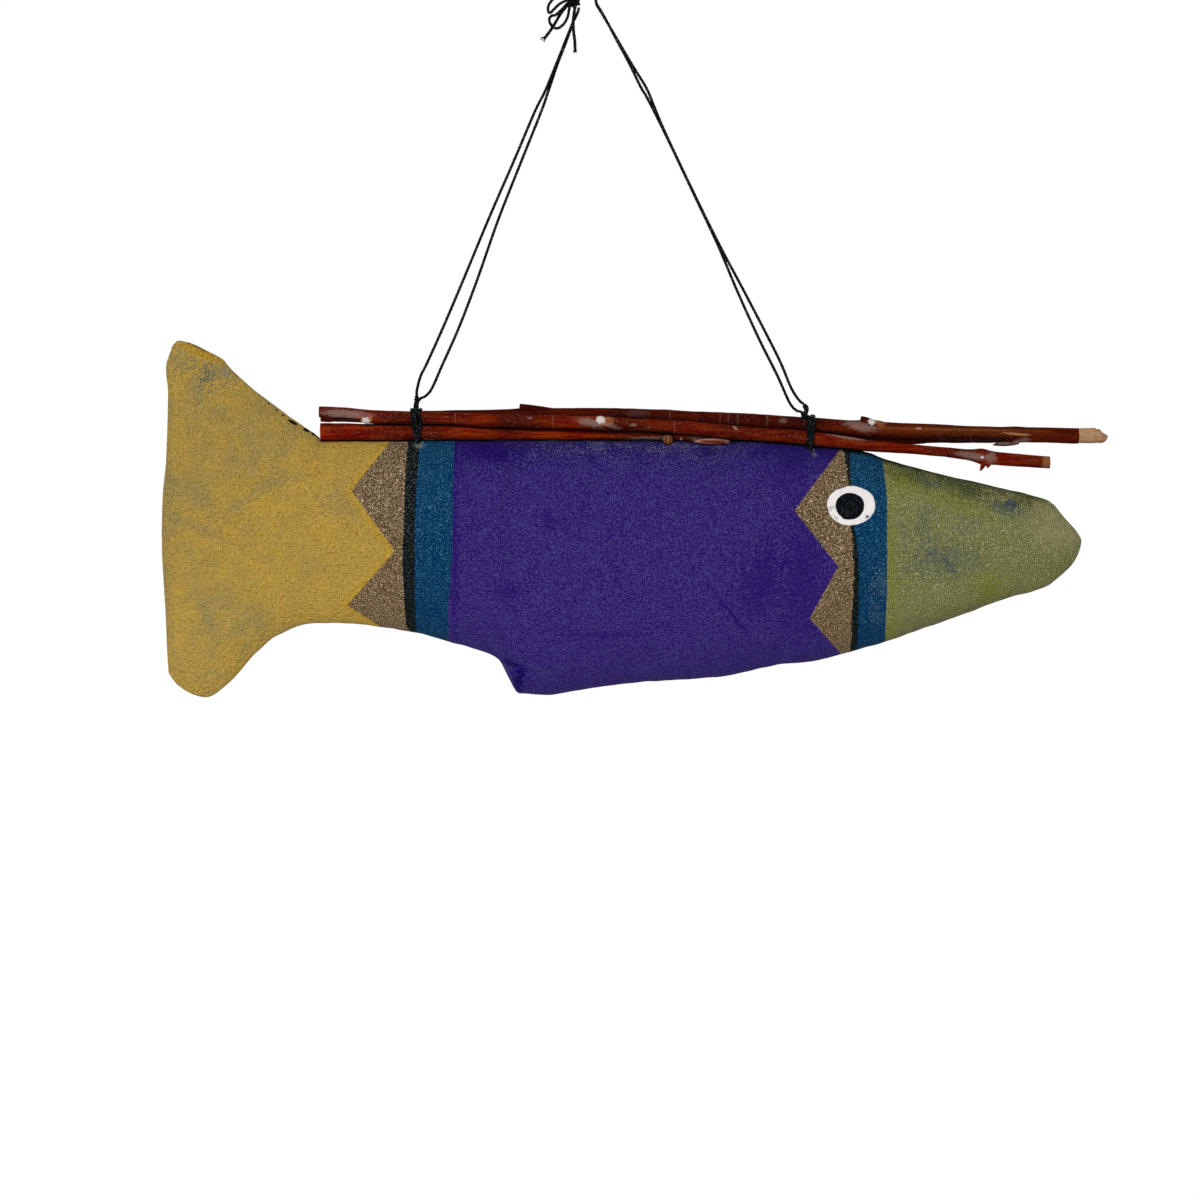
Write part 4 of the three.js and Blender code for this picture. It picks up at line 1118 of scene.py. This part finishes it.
def make_cords(wax):
    bow = make_bow(wax)
    front, back = eye_route(-STRAND_APART), eye_route(STRAND_APART)
    strands = [
        ("strand_left_outer", LEFT_OUTER, ["cord_left_outer"], bow),
        ("strand_left_inner", LEFT_INNER, ["cord_left_inner"], []),
        ("strand_right_inner", RIGHT_INNER + front, ["cord_right_inner", "cord_eye_front"], []),
        ("strand_right_outer", RIGHT_OUTER + back, ["cord_right_outer", "cord_eye_back"], []),
    ]
    for name, route, nodes, with_pieces in strands:
        fine = smooth_route(route)
        strand = cord_piece(name, [tube(fine, CORD / 2)], wax, *nodes)
        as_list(with_pieces)


# Twigs

def twig_line(stations):
    """Functions of x for where a twig's middle lies, y and z, and for its radius."""
    return [smooth_through([(s[0], s[k]) for s in stations]) for k in (1, 2, 3)]


def rod(stations, seed, relief=0.00012, nodes=(), bumps=(), first_slot=0, end_slot=1):
    """Points, faces and material slots of a rough stick, with swollen nodes and small bumps."""
    start, end = stations[0][0], stations[-1][0]
    xs = np.linspace(start, end, round((end - start) / TWIG_STEP) + 1)
    y, z, radius = [line(xs) for line in twig_line(stations)]
    y = y + relief * wave(xs, BEND_SIZES[0], seed)
    z = z + relief * wave(xs, BEND_SIZES[1], seed + 1)
    angle = turns_of(TWIG_SIDES)
    places = [(x * ROUGH_STRETCH, r * math.cos(a), r * math.sin(a))
              for x, r in zip(xs, radius) for a in angle]
    coarse, fine = [rough(places, size, seed + k) for k, size in enumerate(ROUGH_SIZES, 2)]
    roughness = relief * (coarse + 0.5 * fine)
    reach = radius[:, None] + roughness.reshape(len(xs), TWIG_SIDES)
    for at, extra, half in nodes:
        reach += extra * bell(xs - at, half)[:, None]
    for at_x, at_z, height, half_length, half_width in bumps:
        i = int(np.argmin(np.abs(xs - at_x)))
        at_angle = math.pi - math.asin(max(-1, min(1, (at_z - z[i]) / radius[i])))
        turn = (angle - at_angle + np.pi) % (2 * np.pi) - np.pi
        off = ((xs - at_x) / half_length)[:, None] ** 2 + (turn[None, :] * radius[i] / half_width) ** 2
        reach += height * bell(off, 1)
    middle = np.stack([xs, y, z], axis=1)
    points, faces = rings_round(middle, np.array([[0, 1, 0]]), np.array([[0, 0, 1]]), reach)
    return points, faces, [first_slot] * (len(faces) - 2) + [end_slot] * 2


def twig_piece(name, node, materials, parts):
    points, faces = joined([part[:2] for part in parts])
    face_slots = [face_slot for part in parts for face_slot in part[2]]
    mesh_piece(name, points, faces, materials, "bark", [node], face_slots)


def bud(base, tip, radius, taper=0.62, sides=14):
    """A bud that leaves the bark at its base; with a small taper it is the blunt stub of a side twig."""
    base, tip = np.array(base), np.array(tip)
    share = np.linspace(0, 1, BUD_RINGS)
    route = base + np.outer(share, tip - base)
    reach = radius * (np.sin(np.pi * (BUD_ROOT + taper * share)) ** BUD_FULLNESS)
    points, faces = rings_round(route, *sideways(route), np.repeat(reach[:, None], sides, axis=1))
    return points, faces, [0] * len(faces)


def make_twigs():
    wood = bare_wood()
    front_bark = bark("bark_front", 0.2, FRONT_PATCHES, FRONT_RINGS, FRONT_SPOTS)
    lower_bark = bark("bark_lower", 0.0, LOWER_PATCHES, (), LOWER_SPOTS)
    back_bark = bark("bark_back", 0.68, BACK_PATCHES, BACK_RINGS, BACK_SPOTS)
    twig_piece("twig_front_bark", "twig_front", [front_bark, wood], [
        rod(TWIG_FRONT, 11, nodes=FRONT_NODES, bumps=FRONT_BUMPS),
        rod(SPLINTER, 12, relief=0.00008, end_slot=0),
        bud((0.1322, -0.0036, -0.1572), (0.1302, -0.0042, -0.1612), 0.001),
        bud((0.1335, -0.0036, -0.1575), (0.1325, -0.0046, -0.1602), 0.001),
    ])
    twig_piece("twig_lower_bark", "twig_lower", [lower_bark, wood], [
        rod(TWIG_LOWER, 21, nodes=LOWER_NODES, bumps=LOWER_BUMPS, end_slot=0),
        bud((0.0472, -0.0018, -0.1513), (0.0352, -0.0044, -0.1514), 0.0014),
        bud((0.0265, -0.0004, -0.1498), (0.0267, -0.0056, -0.1516), 0.0018, taper=0.45),
    ])
    twig_piece("twig_back_bark", "twig_back", [back_bark, wood], [
        rod(TWIG_BACK, 31, nodes=BACK_NODES, bumps=BACK_BUMPS),
        rod(BARE_WOOD_PART, 32, relief=0.0001, first_slot=1),
        rod(BROKEN_TIP, 33, relief=0.00035, first_slot=1),
        bud((-0.0125, 0.001, -0.1412), (-0.0229, 0.001, -0.1399), 0.0015, taper=0.25),
        bud((0.0945, -0.0006, -0.1446), (0.0908, -0.0008, -0.1437), 0.0011, taper=0.3),
        bud((0.1432, -0.0016, -0.1511), (0.1347, -0.0022, -0.1524), 0.0012),
    ])


# Lashings

def hull_point(circles, offset, angle):
    """The furthest point, towards an angle, of circles (y, z, radius) that are each grown by the offset."""
    cos, sin = math.cos(angle), math.sin(angle)
    y, z, radius = max(circles, key=lambda c: c[0] * cos + c[1] * sin + c[2])
    return y + (radius + offset) * cos, z + (radius + offset) * sin


def lashing_turn(lashing, share, offset, seed):
    """One turn of cord round the twigs, from inside the canvas and back, at a share from -1 to 1."""
    top_x, stitch_x = lashing["top_x"], lashing["stitch_x"]
    top_width, stitch_width = lashing["top_width"], lashing["stitch_width"]
    stitch_y, stitch_z = lashing["stitch_y"], lashing["stitch_z"]
    twigs = [[float(line(top_x)) for line in twig_line(stations)]
             for stations in (TWIG_FRONT, TWIG_LOWER, TWIG_BACK)]
    circles = twigs + [(y, stitch_z, STITCH_HOLE) for y in (-stitch_y, stitch_y)]
    top_z = max(z + radius for _, z, radius in twigs)
    route = []
    for angle in np.radians(np.linspace(*TURN_ANGLES, TURN_POINTS)):
        y, z = hull_point(circles, offset, angle)
        down = min(1, max(0, (top_z - z) / (top_z - stitch_z)))
        x = top_x + (stitch_x - top_x) * down
        half = (top_width + (stitch_width - top_width) * down**2) / 2 - CORD / 2
        sway = TURN_SWAY * math.sin(3.1 * angle + seed)
        route.append((x + share * half + sway * (1 - down), y, z))
    inside = [(stitch_x, 0, stitch_z - STITCH_DEPTH)]
    loose = evenly(np.array(inside + route + inside), 0.0012)
    return tube(smooth_route(loose), CORD / 2, COIL_SIDES)


def make_lashings(wax):
    for side, lashing in LASHINGS.items():
        parts = [lashing_turn(lashing, *turn) for turn in lashing["turns"]]
        parts += [tube(smooth_route(route), CORD / 2) for route in lashing["neck"]]
        parts.append(wound_coil(*lashing["coil"], COIL_RADII, COIL_TURNS, COIL_CORD, COIL_CORD))
        for loose_end in lashing["loose_ends"]:
            parts += frayed_end(*loose_end)
        cord_piece(f"lashing_{side}_turns", parts, wax, f"lashing_{side}")


# Stuffed fish

def twig_underside(x):
    """How low the twigs reach above the canvas at x."""
    lowest = np.full_like(x, np.inf)
    for stations in (TWIG_FRONT, TWIG_LOWER):
        _, z, radius = [line(x) for line in twig_line(stations)]
        lowest = np.minimum(lowest, z - radius)
    return lowest


def share_between(x, start, end):
    """0 up to the start, 1 from the end on, and straight in between."""
    return np.clip((x - start) / (end - start), 0, 1)


def back_line(x):
    """The upper outline, with the canvas pressed up against the twigs where they lie on it."""
    outline = smooth_through(BACK_LINE)(x)
    lift = np.maximum(0, twig_underside(x) + PRESSED - outline)
    return outline + lift * share_between(x, *PRESSED_START) * share_between(x, *PRESSED_END)


def seam_waves(x, seed):
    """How far the seam draws the outline in and out at x."""
    return SEAM_WAVE * wave(x.ravel(), SEAM_WAVE_SIZE, seed).reshape(x.shape)


def end_rounding(distance, reach):
    """How full the fish is at a distance from an end: the height of a quarter circle."""
    return np.sqrt(1 - (1 - np.clip(distance / reach, 0, 1)) ** 2)


def body_columns():
    """Places along the fish, closer together where the canvas turns in at its two ends."""
    tail_turns = np.linspace(0, np.pi / 2, TAIL_COLUMNS)
    nose_turns = np.linspace(np.pi / 2, 0, NOSE_COLUMNS)
    first, last = TAIL_X + TAIL_ROUNDING, NOSE_X - NOSE_ROUNDING
    middle = np.linspace(first, last, round((last - first) / COLUMN_STEP))
    return np.concatenate([
        TAIL_X + TAIL_ROUNDING * (1 - np.cos(tail_turns)),
        middle[1:-1],
        NOSE_X - NOSE_ROUNDING * (1 - np.cos(nose_turns)),
    ])


def distance_to(x, z, start, end):
    """How far the points (x, z) are from a straight stretch."""
    (ax, az), (bx, bz) = start, end
    length_squared = (bx - ax) ** 2 + (bz - az) ** 2
    share = np.clip(((x - ax) * (bx - ax) + (z - az) * (bz - az)) / length_squared, 0, 1)
    return np.hypot(x - ax - share * (bx - ax), z - az - share * (bz - az))


def lumps_and_puckers(x, y, z, to_edge):
    """How far the lumps of stuffing and the seam's puckers stand out, at grids of x, y and z."""
    places = np.stack([x.ravel(), y.ravel(), z.ravel()], axis=1)
    lumps = rough(places, LUMP_SIZE, 1) + 0.5 * rough(places, SMALL_LUMP_SIZE, 2)
    puckers = rough(places, PUCKER_SIZE, 4).reshape(x.shape)
    to_seam = np.minimum(to_edge, np.minimum(x - x[:1], x[-1:] - x))
    return LUMP_HEIGHT * lumps.reshape(x.shape) + PUCKER_HEIGHT * puckers * bell(to_seam, PUCKER_REACH)


def body_face(side):
    """The points of one face, side -1 for the painted one, as an array of columns, rows and x, y, z."""
    column = body_columns()[:, None]
    turn = np.linspace(0, 1, BODY_ROWS + 1)[None, :]
    along = (column - TAIL_X) / (NOSE_X - TAIL_X)
    down = (1 - np.cos(np.pi * turn)) / 2
    back = back_line(column) + seam_waves(column, 7)
    belly = smooth_through(BELLY_LINE)(column) + seam_waves(column, 8)
    tail_z = BACK_LINE[0][1] + (BELLY_LINE[0][1] - BACK_LINE[0][1]) * down
    nose_z = BACK_LINE[-1][1] + (BELLY_LINE[-1][1] - BACK_LINE[-1][1]) * down
    tail_pull = np.maximum(0, 1 - along / END_REACH) ** 2
    nose_pull = np.maximum(0, 1 - (1 - along) / END_REACH) ** 2
    x = column + tail_pull * (smooth_through(TAIL_EDGE)(tail_z) - TAIL_X)
    x = x + nose_pull * (smooth_through(NOSE_EDGE)(nose_z) - NOSE_X)
    z = back + (belly - back) * down
    tail_end = end_rounding(column - TAIL_X, TAIL_ROUNDING)
    nose_end = end_rounding(NOSE_X - column, NOSE_ROUNDING)
    full = smooth_through(FULLNESS)(column) * np.sin(np.pi * turn) * tail_end * nose_end
    full = np.maximum(full, 0)
    raised = lumps_and_puckers(x, side * full, z, np.minimum(back - z, z - belly))
    if side < 0:
        for start, end, height, width in FOLDS:
            raised += height * bell(distance_to(x, z, start, end), width)
    raised *= np.clip(full / FIRM_THICKNESS, 0, 1)
    groove = SEAM_DEPTH * bell(full, SEAM_WIDTH)
    at_end = 1 - np.minimum(tail_end, nose_end)
    inward_x = at_end * np.where(along < 0.5, 1, -1)
    inward_z = (2 * down - 1) * (1 - at_end)
    return np.stack([x + groove * inward_x, side * (full + raised), z + groove * inward_z], axis=2)


def thread_places(grid):
    """Where each point of a face lies on the flat canvas, measured along the cloth."""
    across = np.array([distances(column) for column in grid])
    at_middle = [np.interp(-MIDDLE_Z, -z, s) for z, s in zip(grid[:, :, 2], across)]
    middle = grid[:, BODY_ROWS // 2]
    along = distances(middle)[:, None] + grid[:, :, 0] - middle[:, :1]
    return np.stack([along, across - np.array(at_middle)[:, None]], axis=2)


def make_fish(canvas):
    """One closed mesh of both faces, which share the points of the seam."""
    front, back = body_face(-1), body_face(1)
    back[0], back[-1] = front[0], front[-1]
    columns, rows = front.shape[:2]
    front_index = np.arange(columns * rows).reshape(columns, rows)
    back_index = front_index.copy()
    inner_count = (columns - 2) * (rows - 2)
    back_index[1:-1, 1:-1] = columns * rows + np.arange(inner_count).reshape(columns - 2, rows - 2)
    points = np.vstack([front.reshape(-1, 3), back[1:-1, 1:-1].reshape(-1, 3)])
    thread_uv = np.vstack([thread_places(front).reshape(-1, 2),
                           thread_places(back)[1:-1, 1:-1].reshape(-1, 2)])
    quads = []
    for index, flip in ((front_index, False), (back_index, True)):
        a, b, c, d = index[:-1, :-1], index[1:, :-1], index[1:, 1:], index[:-1, 1:]
        corners = (a, b, c, d) if flip else (a, d, c, b)
        quads.append(np.stack([corner.ravel() for corner in corners], axis=1))
    fish = mesh_piece("painted_fish", points, np.vstack(quads), [canvas], "painted_canvas", ["fish_body"])
    layer = fish.data.uv_layers.new(name="threads")
    corner_of = np.empty(len(fish.data.loops), dtype=np.int32)
    fish.data.loops.foreach_get("vertex_index", corner_of)
    layer.data.foreach_set("uv", thread_uv[corner_of].ravel())


# Stage

FLOOR_Z = -1.3
FLOOR_RADIUS = 3.0
FLOOR_GREY = (0.85, 0.85, 0.85, 1)
LIT_PLACE = (0, 0, -0.18)  # where the lamps point
AMBIENT_LIGHT = 0.38


def make_stage():
    bpy.ops.mesh.primitive_circle_add(vertices=96, radius=FLOOR_RADIUS, fill_type="NGON",
                                      location=(0, 0, FLOOR_Z))
    floor = bpy.context.object
    floor.name = "floor"
    plain = Shader("floor_plain")
    plain.put(plain.surface.inputs["Base Color"], FLOOR_GREY)
    plain.put(plain.surface.inputs["Roughness"], 0.9)
    floor.data.materials.append(plain.material)


def make_light(name, place, size, power):
    data = bpy.data.lights.new(name, "AREA")
    data.shape = "DISK"
    data.size = size
    data.energy = power
    ahead = Vector(LIT_PLACE) - Vector(place)
    add_object(name, data, place, ahead.to_track_quat("-Z", "Y").to_euler())


def make_lights():
    """Three soft lamps and a white surrounding, which lights the fish less than the camera sees it."""
    make_light("key", (-0.7, -1.8, 0.55), 0.9, 28)
    make_light("fill", (1.4, -1.4, 0.1), 1.2, 3)
    make_light("back", (-1.3, 1.7, 0.1), 1.0, 16)
    world = bpy.data.worlds.new("studio")
    world.use_nodes = True
    nodes, links = world.node_tree.nodes, world.node_tree.links
    background = nodes["Background"]
    seen = nodes.new("ShaderNodeLightPath").outputs["Is Camera Ray"]
    strength = nodes.new("ShaderNodeMapRange")
    strength.inputs["To Min"].default_value = AMBIENT_LIGHT
    strength.inputs["To Max"].default_value = 1.0
    links.new(seen, strength.inputs["Value"])
    links.new(strength.outputs[0], background.inputs["Strength"])
    background.inputs["Color"].default_value = (1, 1, 1, 1)
    bpy.context.scene.world = world
    bpy.context.scene.view_settings.view_transform = "Standard"


make_camera()
wax = waxed_cord()
make_cords(wax)
make_fish(painted_canvas())
make_twigs()
make_lashings(wax)
make_stage()
make_lights()
